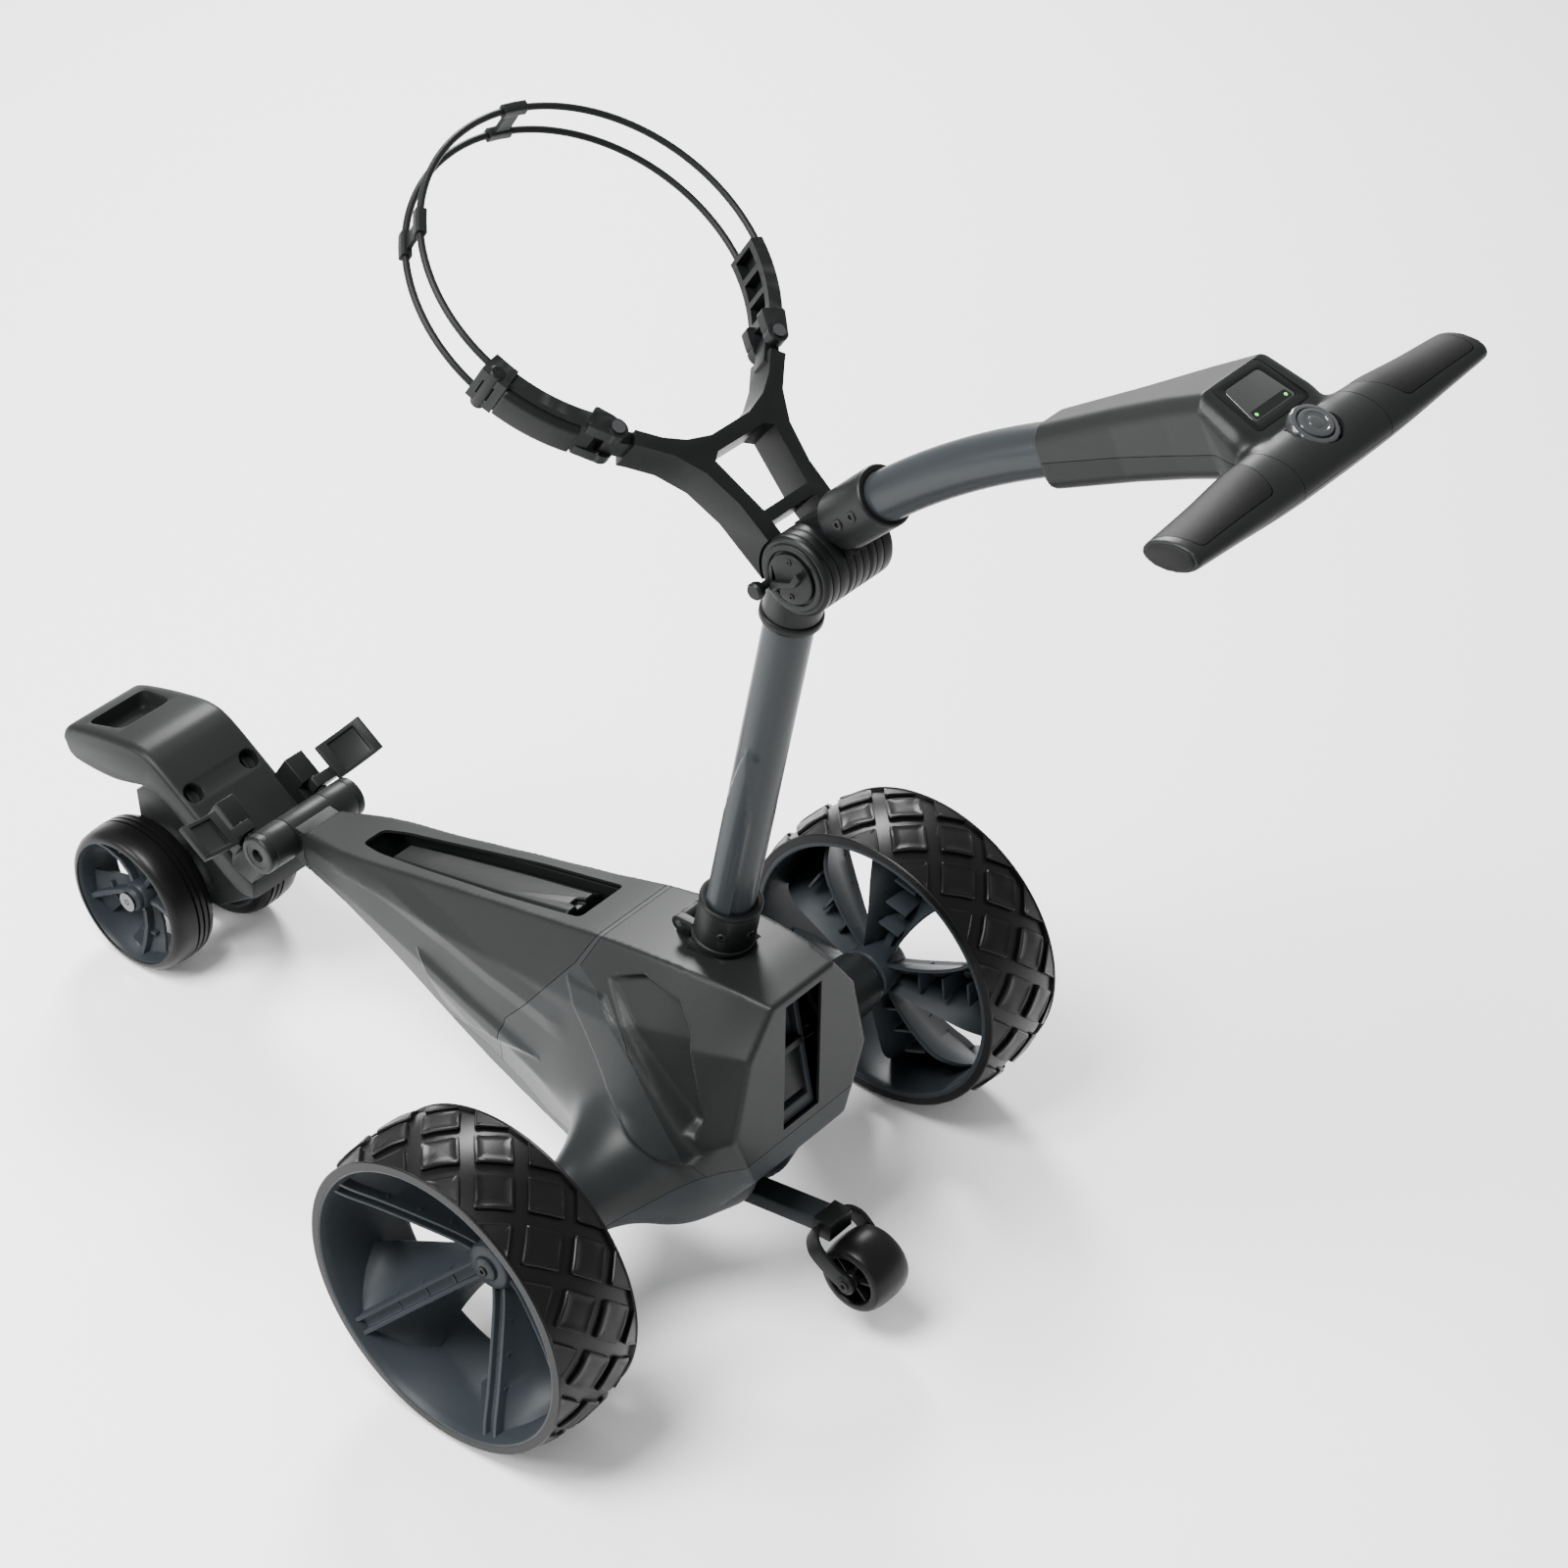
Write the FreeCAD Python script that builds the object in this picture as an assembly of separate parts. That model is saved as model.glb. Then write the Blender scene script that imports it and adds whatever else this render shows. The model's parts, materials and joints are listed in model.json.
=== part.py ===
import FreeCAD, Part
import math
import os

# Electric golf trolley. Millimetres, +Y is the travel direction, +X the trolley's right, +Z up.
# Everything is drawn from the ground under the rear axle; export moves the origin to the
# middle of the overall length.

V = FreeCAD.Vector
X_AXIS, Y_AXIS, Z_AXIS = V(1, 0, 0), V(0, 1, 0), V(0, 0, 1)
SIDES = (("left", -1), ("right", 1))

# --- wheels -------------------------------------------------------------------------------
REAR_R = 133.0            # rear tyre radius = rear axle height
REAR_EDGE_R = 126.5       # tyre radius at its lips
REAR_W = 86.0
REAR_X = 257.0            # tyre mid plane from the centre line
RIM_R = 120.0
RIM_WALL = 4.0
SPOKES = 5
FRONT_R = 69.0
FRONT_W = 44.0
FRONT_X = 51.5
FRONT_Y = 589.0
TIP_R = 31.0              # anti-tip wheel
TIP_W = 40.0
TIP_Y, TIP_Z = -171.0, 63.0
# --- hinges -------------------------------------------------------------------------------
FRONT_HINGE_Y, FRONT_HINGE_Z = 433.0, 191.0
FRONT_HINGE_R = 17.5
FRONT_HINGE_HALF = 55.0
MAST_PIVOT_Y, MAST_PIVOT_Z = 7.0, 322.0
DRUM_Y, DRUM_Z = -115.5, 702.0
DRUM_R = 30.0
DRUM_HALF = 36.0
KNUCKLE_HALF = 11.0       # half width of the handle's knuckle inside the drum
# --- mast ---------------------------------------------------------------------------------
MAST_LEAN = 10.6          # degrees back from vertical
MAST_Y, MAST_Z = -25.0, 318.0
MAST_R = 18.5
MAST_LENGTH = 352.0
COLLAR_R = 24.0
COLLAR_H = 41.0
# --- bag cradle ---------------------------------------------------------------------------
HOOP_TILT = 33.0          # hoop plane above the horizontal
HOOP_L = 253.0            # hoop centre from the drum axis, in the hoop plane
HOOP_R = 132.5
CORD_R = 2.6
CORD_SPREAD = 14.0        # each cord's distance from the hoop's mid plane
BRACKET_TILT = 37.6
BRACKET_DROP = 12.0
ARM_PIVOT_X, ARM_PIVOT_L = 84.0, 148.0
ARM_HALF = 17.0           # half width of the padded arms
# --- handle -------------------------------------------------------------------------------
STEM_Y, STEM_Z = -303.0, 866.0        # centre of the housing's front end
STEM_TILT = 27.5
BAR_Y, BAR_Z = -487.0, 942.0          # middle of the cross bar
GRIP_HALF = 156.0
CONTROL_Y, CONTROL_Z = -459.0, 958.7  # rear edge of the display on the control face
CONTROL_TILT = 19.2                   # the control face rises forwards
DIAL_BACK = 24.7                      # dial axis behind the display
DIAL_R = 17.0
CAP_R = 12.0
SOCKET_DIR = 45.0         # degrees above horizontal, rearwards
SOCKET_OFFSET = 15.0      # tube axis above the drum axis
SOCKET_START = 50.0       # where the tube begins, from the drum axis
TUBE_BEND = 650.0         # radius of the tube's single bend
TUBE_SWEEP = 20.0
TUBE_R = 18.0
# --- body ---------------------------------------------------------------------------------
WALL = 3.0
SEAM_Y = 62.0             # front cover to rear cover
BAY_Y, BAY_Z, BAY_SLOPE = 219.0, 253.0, 14.3
BAY_HALF_W = 27.0
REAR_TILT = 11.2
HOUSING_END_X = 203.0
SHAFT_R = 6.0
FIT = 0.05                # running clearance on a radius
GAP = 0.3                 # clearance between bodies that move apart
NOSE_Y = 684.0
GRIP_REAR_Y = -512.01
MID_Y = (NOSE_Y + GRIP_REAR_Y) / 2


# === helpers ==============================================================================
def box(x0, x1, y0, y1, z0, z1):
    return Part.makeBox(x1 - x0, y1 - y0, z1 - z0, V(x0, y0, z0))


def cyl_x(x0, x1, y, z, r):
    return Part.makeCylinder(r, x1 - x0, V(x0, y, z), X_AXIS)


def ring_x(x0, x1, y, z, outer, inner):
    return cyl_x(x0, x1, y, z, outer).cut(cyl_x(x0 - 1, x1 + 1, y, z, inner))


def cyl_z(x, y, z0, z1, r):
    return Part.makeCylinder(r, z1 - z0, V(x, y, z0), Z_AXIS)


def fuse(*shapes):
    out = shapes[0]
    for shape in shapes[1:]:
        out = out.fuse(shape)
    return out.removeSplitter()


def place(shape, y, z, tilt=0.0, x=0.0):
    """Local frame to trolley frame: tip about X, then move."""
    moved = shape.copy()
    moved.rotate(V(0, 0, 0), X_AXIS, tilt)
    moved.translate(V(x, y, z))
    return moved


def mirrored(shape, side):
    return shape if side > 0 else shape.mirror(V(0, 0, 0), X_AXIS)


def prism(points, x0, x1):
    """A (y, z) outline carried along X."""
    face = Part.Face(Part.makePolygon([V(x0, y, z) for y, z in points + points[:1]]))
    return face.extrude(V(x1 - x0, 0, 0))


def slab(points, z0, z1):
    """An (x, y) outline carried along Z."""
    face = Part.Face(Part.makePolygon([V(x, y, z0) for x, y in points + points[:1]]))
    return face.extrude(V(0, 0, z1 - z0))


def turned(points, y, z):
    """An (x, radius) outline turned about an axis along X."""
    face = Part.Face(Part.makePolygon([V(x, y, z + r) for x, r in points + points[:1]]))
    return face.revolve(V(0, y, z), X_AXIS, 360)


def solids_of(*shapes):
    return [solid for shape in shapes for solid in shape.Solids]


def save(name, *shapes):
    shape = Part.makeCompound(solids_of(*shapes))
    shape.translate(V(0, -MID_Y, 0))
    assert shape.isValid(), name
    shape.exportStep("parts/" + name + ".step")
    BOXES.append(shape.BoundBox)


BOXES = []


# === rear wheels ==========================================================================
def rear_tyre():
    half = REAR_W / 2
    outline = [(-half, RIM_R), (-half, REAR_EDGE_R - 2), (-half + 2, REAR_EDGE_R),
               (-half * 0.55, REAR_R - 1.6), (0, REAR_R), (half * 0.55, REAR_R - 1.6),
               (half - 2, REAR_EDGE_R), (half, REAR_EDGE_R - 2), (half, RIM_R)]
    return turned([(REAR_X + x, r) for x, r in outline], 0, REAR_R)


def rear_rim():
    inner_x = REAR_X - REAR_W / 2
    barrel = ring_x(inner_x, inner_x + REAR_W, 0, REAR_R, RIM_R, RIM_R - RIM_WALL)
    hub = cyl_x(inner_x - 7, inner_x + 30, 0, REAR_R, 23)
    rim = fuse(barrel, hub)
    for i in range(SPOKES):
        spoke = box(inner_x + 4, inner_x + 16, -15, 15, 18, RIM_R - RIM_WALL / 2)
        spoke.rotate(V(0, 0, 0), X_AXIS, 360 / SPOKES * i)
        spoke.translate(V(0, 0, REAR_R))
        rim = rim.fuse(spoke)
    bore = cyl_x(inner_x - 8, inner_x + 24, 0, REAR_R, SHAFT_R)
    return rim.cut(bore).removeSplitter()


def drive_shaft():
    return cyl_x(92, REAR_X - REAR_W / 2 + 24, 0, REAR_R, SHAFT_R)


def drive_unit():
    """Motor can and planetary gearbox, coaxial with the axle."""
    motor = cyl_x(6, 52, 0, REAR_R, 30)
    gearbox = cyl_x(52, 88, 0, REAR_R, 25).cut(cyl_x(80, 89, 0, REAR_R, 10))
    return motor, gearbox


def axle_housing(body):
    """Hollow cone from the body's flank to the wheel hub, with a bearing seat at its end."""
    outer = turned([(70, 0), (70, 66), (105, 50), (150, 34), (HOUSING_END_X, 25),
                    (HOUSING_END_X, 0)], 0, REAR_R)
    inner = turned([(69, 0), (69, 63), (104, 47), (150, 31), (HOUSING_END_X - 13, 22),
                    (HOUSING_END_X - 13, 0)], 0, REAR_R)
    seat = cyl_x(HOUSING_END_X - 14, HOUSING_END_X + 1, 0, REAR_R, 14)
    return outer.cut(inner).cut(seat).cut(body)


def axle_bearing():
    return ring_x(HOUSING_END_X - 11, HOUSING_END_X - 1, 0, REAR_R, 14, SHAFT_R + FIT)


# === front wheels =========================================================================
def front_tyre():
    half = FRONT_W / 2
    outline = [(-half, 60), (-half, FRONT_R - 4), (-half + 6, FRONT_R - 0.8), (0, FRONT_R),
               (half - 6, FRONT_R - 0.8), (half, FRONT_R - 4), (half, 60)]
    tyre = turned([(FRONT_X + x, r) for x, r in outline], FRONT_Y, FRONT_R)
    for x in (-14, -8, -2):
        tyre = tyre.cut(ring_x(FRONT_X + x, FRONT_X + x + 1.6, FRONT_Y, FRONT_R, 75, FRONT_R - 2))
    return tyre


def front_rim():
    x0, x1 = FRONT_X - FRONT_W / 2, FRONT_X + FRONT_W / 2
    rim = fuse(ring_x(x0, x1, FRONT_Y, FRONT_R, 60, 56.5),
               cyl_x(x0, x1 - 12, FRONT_Y, FRONT_R, 13))
    for i in range(SPOKES):
        spoke = box(x0 + 6, x0 + 18, -9, 9, 10, 58)
        spoke.rotate(V(0, 0, 0), X_AXIS, 360 / SPOKES * i)
        spoke.translate(V(0, FRONT_Y, FRONT_R))
        rim = rim.fuse(spoke)
    return rim.cut(cyl_x(x0 - 1, x1, FRONT_Y, FRONT_R, 5 + FIT)).removeSplitter()


# === anti-tip wheel =======================================================================
def tip_wheel():
    body = turned([(-20, 0), (-20, 27), (-12, 30), (0, TIP_R), (12, 30), (20, 27), (20, 0)],
                  TIP_Y, TIP_Z)
    dishes = (cyl_x(14, 21, TIP_Y, TIP_Z, 21).cut(cyl_x(13, 22, TIP_Y, TIP_Z, 8)),
              cyl_x(-21, -14, TIP_Y, TIP_Z, 21).cut(cyl_x(-22, -13, TIP_Y, TIP_Z, 8)))
    return body.cut(dishes[0]).cut(dishes[1]).cut(cyl_x(-21, 21, TIP_Y, TIP_Z, 4 + FIT))


def tip_bar():
    """Square bar from the belly to the fork's crown."""
    points = [(-20, 64), (-20, 78), (-134, 99), (-134, 85)]
    return prism(points, -11, 11)


def tip_fork():
    arm = prism([(TIP_Y - 8, TIP_Z - 8), (TIP_Y + 8, TIP_Z - 8), (TIP_Y + 40, TIP_Z + 16),
                 (TIP_Y + 40, TIP_Z + 38), (TIP_Y + 22, TIP_Z + 38), (TIP_Y - 8, TIP_Z + 8)],
                20.6, 26)
    crown = box(-26, 26, TIP_Y + 33.5, TIP_Y + 40, TIP_Z + 12, TIP_Z + 40)
    return fuse(arm, arm.mirror(V(0, 0, 0), X_AXIS), crown).cut(tip_bar()).cut(
        cyl_x(-27, 27, TIP_Y, TIP_Z, 4))


def tip_axle():
    return fuse(cyl_x(-26, 26, TIP_Y, TIP_Z, 4), cyl_x(26, 28.5, TIP_Y, TIP_Z, 6.5),
                cyl_x(-28.5, -26, TIP_Y, TIP_Z, 6.5))


# === body shells ==========================================================================
# y station, bottom z, top z, half widths at the bottom, waist, shoulder and top
STATIONS = (
    (412, 166, 206, 18, 23, 23, 20), (356, 156, 220, 24, 33, 37, 31),
    (290, 128, 236, 26, 38, 43, 33), (206, 88, 258, 28, 46, 52, 36),
    (120, 62, 280, 34, 62, 60, 39), (60, 56, 296, 44, 80, 68, 42),
    (-10, 66, 310, 52, 98, 74, 44), (-60, 96, 314, 54, 92, 70, 42),
    (-104, 150, 312, 56, 78, 62, 36),
)


def body_section(station, inset):
    y, bottom, top, w_bottom, w_waist, w_shoulder, w_top = station
    height = top - bottom
    waist, shoulder = bottom + 0.36 * height, bottom + 0.78 * height
    right = [(w_bottom - inset, bottom + inset), (w_waist - inset, waist),
             (w_shoulder - inset, shoulder), (w_top - inset, top - inset)]
    points = right + [(-x, z) for x, z in reversed(right)]
    return Part.makePolygon([V(x, y, z) for x, z in points + points[:1]])


def body_solid(inset=0.0):
    return Part.makeLoft([body_section(s, inset) for s in STATIONS], True, True)


def rear_plane_cut(depth=0.0):
    """Everything behind the flat rear face."""
    return place(box(-200, 200, -200, depth, -200, 200), -86, 241, -REAR_TILT)


def belly_region():
    return prism([(500, -20), (500, 25), (230, 92), (60, 112), (-60, 150), (-200, 172),
                  (-200, -20)], -250, 250)


def panel_region():
    """Triangle of the flank that the side panel fills."""
    return prism([(58, 262), (20, 292), (-68, 196), (-68, 176), (-44, 168)], 40, 200)


def shell():
    inner = body_solid(WALL).common(box(-200, 200, -90, 405, 0, 400))
    outer = body_solid().cut(rear_plane_cut())
    inner = inner.cut(rear_plane_cut(WALL))
    bay = place(box(-BAY_HALF_W, BAY_HALF_W, -127, 140, -67, 40), BAY_Y, BAY_Z, -BAY_SLOPE)
    axle = cyl_x(-200, 200, 0, REAR_R, 40)
    tip = prism([(-19, 62), (-19, 80), (-140, 101), (-140, 83)], -11.1, 11.1)
    return outer.cut(inner).cut(bay).cut(axle).cut(tip)


def rear_pocket():
    return place(box(-21, 21, -1, 9, -62, 58), -86, 241, -REAR_TILT)


def rear_frame():
    """U channel let into the rear face, with a sloped tray at its foot."""
    frame = box(-21, 21, -2, 9, -62, 58).cut(box(-15.5, 15.5, -3, 6, -50, 59))
    frame = frame.cut(box(-12, 12, -3, 10, 14, 50))
    return place(frame, -86, 241, -REAR_TILT)


def latch_lever():
    lever = fuse(box(-15, 15, 0, 4, -44, 4), cyl_x(-15, 15, 2.5, -44, 2.5),
                 box(-15, 15, -6, 0, -2, 4))
    return place(lever, -86, 241, -REAR_TILT)


def bay_tray():
    tray = box(-BAY_HALF_W, BAY_HALF_W, -127, 140, -67, -2)
    tray = tray.cut(box(-25, 25, -125, 138, -65, 0))
    return place(tray, BAY_Y, BAY_Z, -BAY_SLOPE)


def battery():
    case = box(-24, 24, -100, 104, -64.6, -9)
    ridge = prism([(-100, -9), (-96, -4), (98, -4), (104, -9)], -17, 17)
    return place(fuse(case, ridge), BAY_Y, BAY_Z, -BAY_SLOPE)


def battery_plug():
    """Connector block on the tray's floor, behind the battery."""
    block = fuse(box(-12, 12, -122, -101, -65, -40), box(-20, 20, -124, -114, -65, -30))
    return place(block, BAY_Y, BAY_Z, -BAY_SLOPE)


def controller():
    board = box(-32, 32, -62, -44, 190, 250)
    return fuse(board, box(-24, 24, -44, -30, 200, 240))


def neck():
    """Solid nose of the spine that carries the centre barrel of the front hinge."""
    barrel = cyl_x(-22, 22, FRONT_HINGE_Y, FRONT_HINGE_Z, FRONT_HINGE_R)
    web = prism([(FRONT_HINGE_Y, 176), (FRONT_HINGE_Y, 206), (409, 204), (409, 168)], -20, 20)
    return fuse(barrel, web).cut(cyl_x(-60, 60, FRONT_HINGE_Y, FRONT_HINGE_Z, 6)).cut(body_solid())


def mast_seat():
    """Boss that the collar stands on, with the middle lug of the mast pivot."""
    pad = place(box(-22, 22, -21, 16, -14, -1), MAST_Y, MAST_Z, MAST_LEAN)
    lug = prism([(MAST_PIVOT_Y - 5, 300), (MAST_PIVOT_Y + 9, 300), (MAST_PIVOT_Y + 6.5, MAST_PIVOT_Z),
                 (MAST_PIVOT_Y - 5, MAST_PIVOT_Z)], -8, 8)
    lug = fuse(lug, cyl_x(-8, 8, MAST_PIVOT_Y, MAST_PIVOT_Z, 6.5))
    seat = pad.fuse(lug).cut(body_solid())
    seat = seat.cut(mast_space()).cut(cyl_x(-9, 9, MAST_PIVOT_Y, MAST_PIVOT_Z, 3 + FIT))
    return seat.removeSplitter()


def mast_space():
    """Room that the collar and its lugs need over the seat."""
    collar = place(cyl_z(0, 0, -0.4, COLLAR_H, COLLAR_R + GAP), MAST_Y, MAST_Z, MAST_LEAN)
    lugs = (cyl_x(8, 20, MAST_PIVOT_Y, MAST_PIVOT_Z, 7), cyl_x(-20, -8, MAST_PIVOT_Y, MAST_PIVOT_Z, 7))
    return collar.fuse(lugs[0]).fuse(lugs[1])


# === mast =================================================================================
def mast_tube():
    tube = cyl_z(0, 0, 4, MAST_LENGTH, MAST_R).cut(cyl_z(0, 0, 3, MAST_LENGTH + 1, MAST_R - 2))
    return place(tube, MAST_Y, MAST_Z, MAST_LEAN)


def mast_facet():
    """Long raised pad on the lower half of the tube."""
    pad = fuse(cyl_z(0, 0, COLLAR_H + 1, 205, MAST_R + 2.2)).cut(cyl_z(0, 0, 0, 300, MAST_R))
    keep = slab([(-22, -10), (-4, -24), (-14, -24), (-24, -24), (-24, 12), (-20, 12)], 0, 300)
    return place(pad.common(keep), MAST_Y, MAST_Z, MAST_LEAN)


def mast_collar():
    collar = cyl_z(0, 0, 0, COLLAR_H, COLLAR_R).cut(cyl_z(0, 0, 4, COLLAR_H + 1, MAST_R))
    collar = place(collar, MAST_Y, MAST_Z, MAST_LEAN)
    for x0, x1 in ((8.3, 15), (-15, -8.3)):
        lug = fuse(cyl_x(x0, x1, MAST_PIVOT_Y, MAST_PIVOT_Z, 6.5),
                   box(x0, x1, MAST_PIVOT_Y - 14, MAST_PIVOT_Y, MAST_PIVOT_Z - 2, MAST_PIVOT_Z + 6.5))
        collar = collar.fuse(lug)
    inside = place(cyl_z(0, 0, 4, COLLAR_H + 1, MAST_R), MAST_Y, MAST_Z, MAST_LEAN)
    return collar.cut(inside).cut(cyl_x(-16, 16, MAST_PIVOT_Y, MAST_PIVOT_Z, 3)).removeSplitter()


def mast_pin():
    return cyl_x(-15, 15, MAST_PIVOT_Y, MAST_PIVOT_Z, 3)


def collar_screws():
    screws = []
    for angle in (-60, 160):
        head = Part.makeCylinder(3.4, 4, V(0, 0, 20), X_AXIS)
        head.translate(V(COLLAR_R - 2, 0, 0))
        head.rotate(V(0, 0, 0), Z_AXIS, angle - 90)
        screws.append(place(head, MAST_Y, MAST_Z, MAST_LEAN))
    return screws


def hinge_head():
    """Fork of the upper hinge on top of the mast, closed below the handle's knuckle."""
    discs = fuse(cyl_x(KNUCKLE_HALF + GAP, DRUM_HALF, DRUM_Y, DRUM_Z, DRUM_R),
                 cyl_x(-DRUM_HALF, -KNUCKLE_HALF - GAP, DRUM_Y, DRUM_Z, DRUM_R))
    neck_top = place(cyl_z(0, 0, MAST_LENGTH - 26, MAST_LENGTH + 34, 22), MAST_Y, MAST_Z, MAST_LEAN)
    inside = place(cyl_z(0, 0, MAST_LENGTH - 27, MAST_LENGTH, MAST_R), MAST_Y, MAST_Z, MAST_LEAN)
    room = cyl_x(-KNUCKLE_HALF - GAP, KNUCKLE_HALF + GAP, DRUM_Y, DRUM_Z, DRUM_R + 0.8)
    head = discs.fuse(neck_top).cut(room).cut(inside)
    return head.cut(cyl_x(-40, 40, DRUM_Y, DRUM_Z, 6)).removeSplitter()


def hinge_pin():
    return cyl_x(-DRUM_HALF + 1, DRUM_HALF - 1, DRUM_Y, DRUM_Z, 6)


def hinge_caps():
    """Disc on the drum's right end and the stud knob at the foot of the left rail."""
    cap = cyl_x(DRUM_HALF, DRUM_HALF + 3, DRUM_Y, DRUM_Z, 26)
    stud_y, stud_z = DRUM_Y + 22, DRUM_Z - 14
    stud = fuse(cyl_x(-45, -DRUM_HALF, stud_y, stud_z, 3), cyl_x(-52, -44, stud_y, stud_z, 5.5))
    return cap, stud


def hinge_catch():
    x0 = -DRUM_HALF - GAP
    plate = cyl_x(x0 - 3, x0, DRUM_Y, DRUM_Z, 19)
    lever = prism([(-13, 8), (-9, 11), (-4, 2), (12, -4), (14, -11), (9, -12), (6, -7), (-8, -1)],
                  x0 - 9, x0 - 3)
    return fuse(plate, place(lever, DRUM_Y, DRUM_Z))


# === bag cradle ===========================================================================
def bracket_frame(shape):
    a = math.radians(HOOP_TILT)
    return place(shape, DRUM_Y + BRACKET_DROP * math.sin(a), DRUM_Z - BRACKET_DROP * math.cos(a),
                 BRACKET_TILT)


def hoop_frame(shape):
    return place(shape, DRUM_Y, DRUM_Z, HOOP_TILT)


def cradle_bracket():
    """Y bracket with two windows, its ends forked round nothing but a tongue for each arm."""
    right = [(36, 12), (37, 62), (44, 92), (57, 114), (73, 129), (79, 134)]
    inner = [(71, 143), (56, 129), (40, 119), (20, 113)]
    outline = right + inner + [(-x, y) for x, y in reversed(inner)]
    outline += [(-x, y) for x, y in reversed(right)]
    plate = slab(outline, -15, 15)
    window = slab([(23, 50), (31, 96), (24, 101), (-24, 101), (-31, 96), (-23, 50)], -20, 20)
    mouth = box(-23, 23, 0, 41, -20, 20)
    plate = bracket_frame(plate.cut(window).cut(mouth))
    drum = cyl_x(-60, 60, DRUM_Y, DRUM_Z, DRUM_R)
    pin = cyl_z(ARM_PIVOT_X, ARM_PIVOT_L, -20, 20, 3)
    clear = cyl_z(ARM_PIVOT_X, ARM_PIVOT_L, -30, -8, 9.5).fuse(
        cyl_z(ARM_PIVOT_X, ARM_PIVOT_L, 8, 30, 9.5))
    for side in (-1, 1):
        tongue = slab([(68, 128), (82, 139), (90, 148), (84, 154), (78, 150), (64, 138)], -8, 8)
        plate = plate.fuse(hoop_frame(mirrored(tongue, side)))
    for side in (-1, 1):
        plate = plate.cut(hoop_frame(mirrored(pin, side))).cut(hoop_frame(mirrored(clear, side)))
    return plate.cut(drum).cut(hinge_head())


def arm_pins():
    pins = []
    for side in (-1, 1):
        pin = fuse(cyl_z(ARM_PIVOT_X, ARM_PIVOT_L, -17, 17, 3),
                   cyl_z(ARM_PIVOT_X, ARM_PIVOT_L, 17 + GAP, 19, 5),
                   cyl_z(ARM_PIVOT_X, ARM_PIVOT_L, 17, 17 + GAP, 3))
        pins.append(hoop_frame(mirrored(pin, side)))
    return pins


def hoop_sector(start, end, inner, outer, half):
    """Part of a ring about the hoop's centre, in the hoop frame; angles in degrees from +X."""
    a = math.radians(start)
    corners = [(inner, -half), (outer, -half), (outer, half), (inner, half)]
    points = [V(r * math.cos(a), HOOP_L + r * math.sin(a), z) for r, z in corners + corners[:1]]
    return Part.Face(Part.makePolygon(points)).revolve(V(0, HOOP_L, 0), Z_AXIS, end - start)


ARM_START, ARM_END = -45.0, -17.0     # degrees round the hoop
LEVER_START = -40.0


def upper_arm(side):
    pad = hoop_sector(ARM_START, ARM_END, HOOP_R - 6, HOOP_R + 5, ARM_HALF)
    for start in (-41.0, -33.0, -25.0):
        pad = pad.cut(hoop_sector(start, start + 5.5, HOOP_R - 7, HOOP_R + 2, 10))
    arm = pad
    for z0, z1 in ((8.3, ARM_HALF), (-ARM_HALF, -8.3)):
        ear = cyl_z(ARM_PIVOT_X, ARM_PIVOT_L, z0, z1, 8)
        link = slab([(78, 154), (92, 145), (101, 160), (88, 167)], z0, z1)
        arm = arm.fuse(ear).fuse(link)
    arm = arm.cut(cyl_z(ARM_PIVOT_X, ARM_PIVOT_L, -20, 20, 3 + FIT))
    end = ARM_END + (8 if side < 0 else 0)
    if side < 0:
        arm = arm.fuse(hoop_sector(ARM_END, end, HOOP_R - 7, HOOP_R + 9, ARM_HALF + 1))
    for offset in (-CORD_SPREAD, CORD_SPREAD):
        arm = arm.cut(cord_arc(end - 4.2, 90, offset, CORD_R + GAP))
    return hoop_frame(mirrored(arm.removeSplitter(), side))


def cord_arc(start, end, offset, radius):
    """Round cord along the hoop, in the hoop frame."""
    a = math.radians(start)
    centre = V(HOOP_R * math.cos(a), HOOP_L + HOOP_R * math.sin(a), offset)
    tangent = V(-math.sin(a), math.cos(a), 0)
    face = Part.Face(Part.Wire(Part.makeCircle(radius, centre, tangent)))
    return face.revolve(V(0, HOOP_L, offset), Z_AXIS, end - start)


CLIP_ANGLE = {"left": 41.5, "right": 76.5}


def strap(name, side):
    """Half of the hoop: two elastic cords, run into the arm, and the cross clip that spaces them."""
    start = ARM_END + (8 if side < 0 else 0) - 4
    cords = fuse(cord_arc(start, 90, CORD_SPREAD, CORD_R), cord_arc(start, 90, -CORD_SPREAD, CORD_R))
    clip = CLIP_ANGLE[name]
    cross = hoop_sector(clip - 2.5, clip + 2.5, HOOP_R - 4.5, HOOP_R + 4.5, CORD_SPREAD + 4.5)
    cross = cross.cut(hoop_sector(clip - 3, clip + 3, HOOP_R - 1.5, HOOP_R + 6, CORD_SPREAD - 5))
    cross = cross.cut(cords)
    return hoop_frame(mirrored(cords, side)), hoop_frame(mirrored(cross, side))


def buckle_lever():
    lever = hoop_sector(LEVER_START, ARM_END - 1, HOOP_R + 5 + GAP, HOOP_R + 12, 13)
    return hoop_frame(mirrored(lever, -1))


# === handle ===============================================================================
def socket_frame(shape):
    """Local +Z runs from the drum axis along the handle tube."""
    return place(shape, DRUM_Y, DRUM_Z, 90 - SOCKET_DIR)


def tube_arc_centre():
    """The handle tube is one arc that starts along the socket and flattens rearwards."""
    a = math.radians(SOCKET_DIR)
    start = V(0, DRUM_Y - SOCKET_START * math.cos(a) + SOCKET_OFFSET * math.sin(a),
              DRUM_Z + SOCKET_START * math.sin(a) + SOCKET_OFFSET * math.cos(a))
    return start, V(0, start.y - TUBE_BEND * math.sin(a), start.z - TUBE_BEND * math.cos(a))


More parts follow.
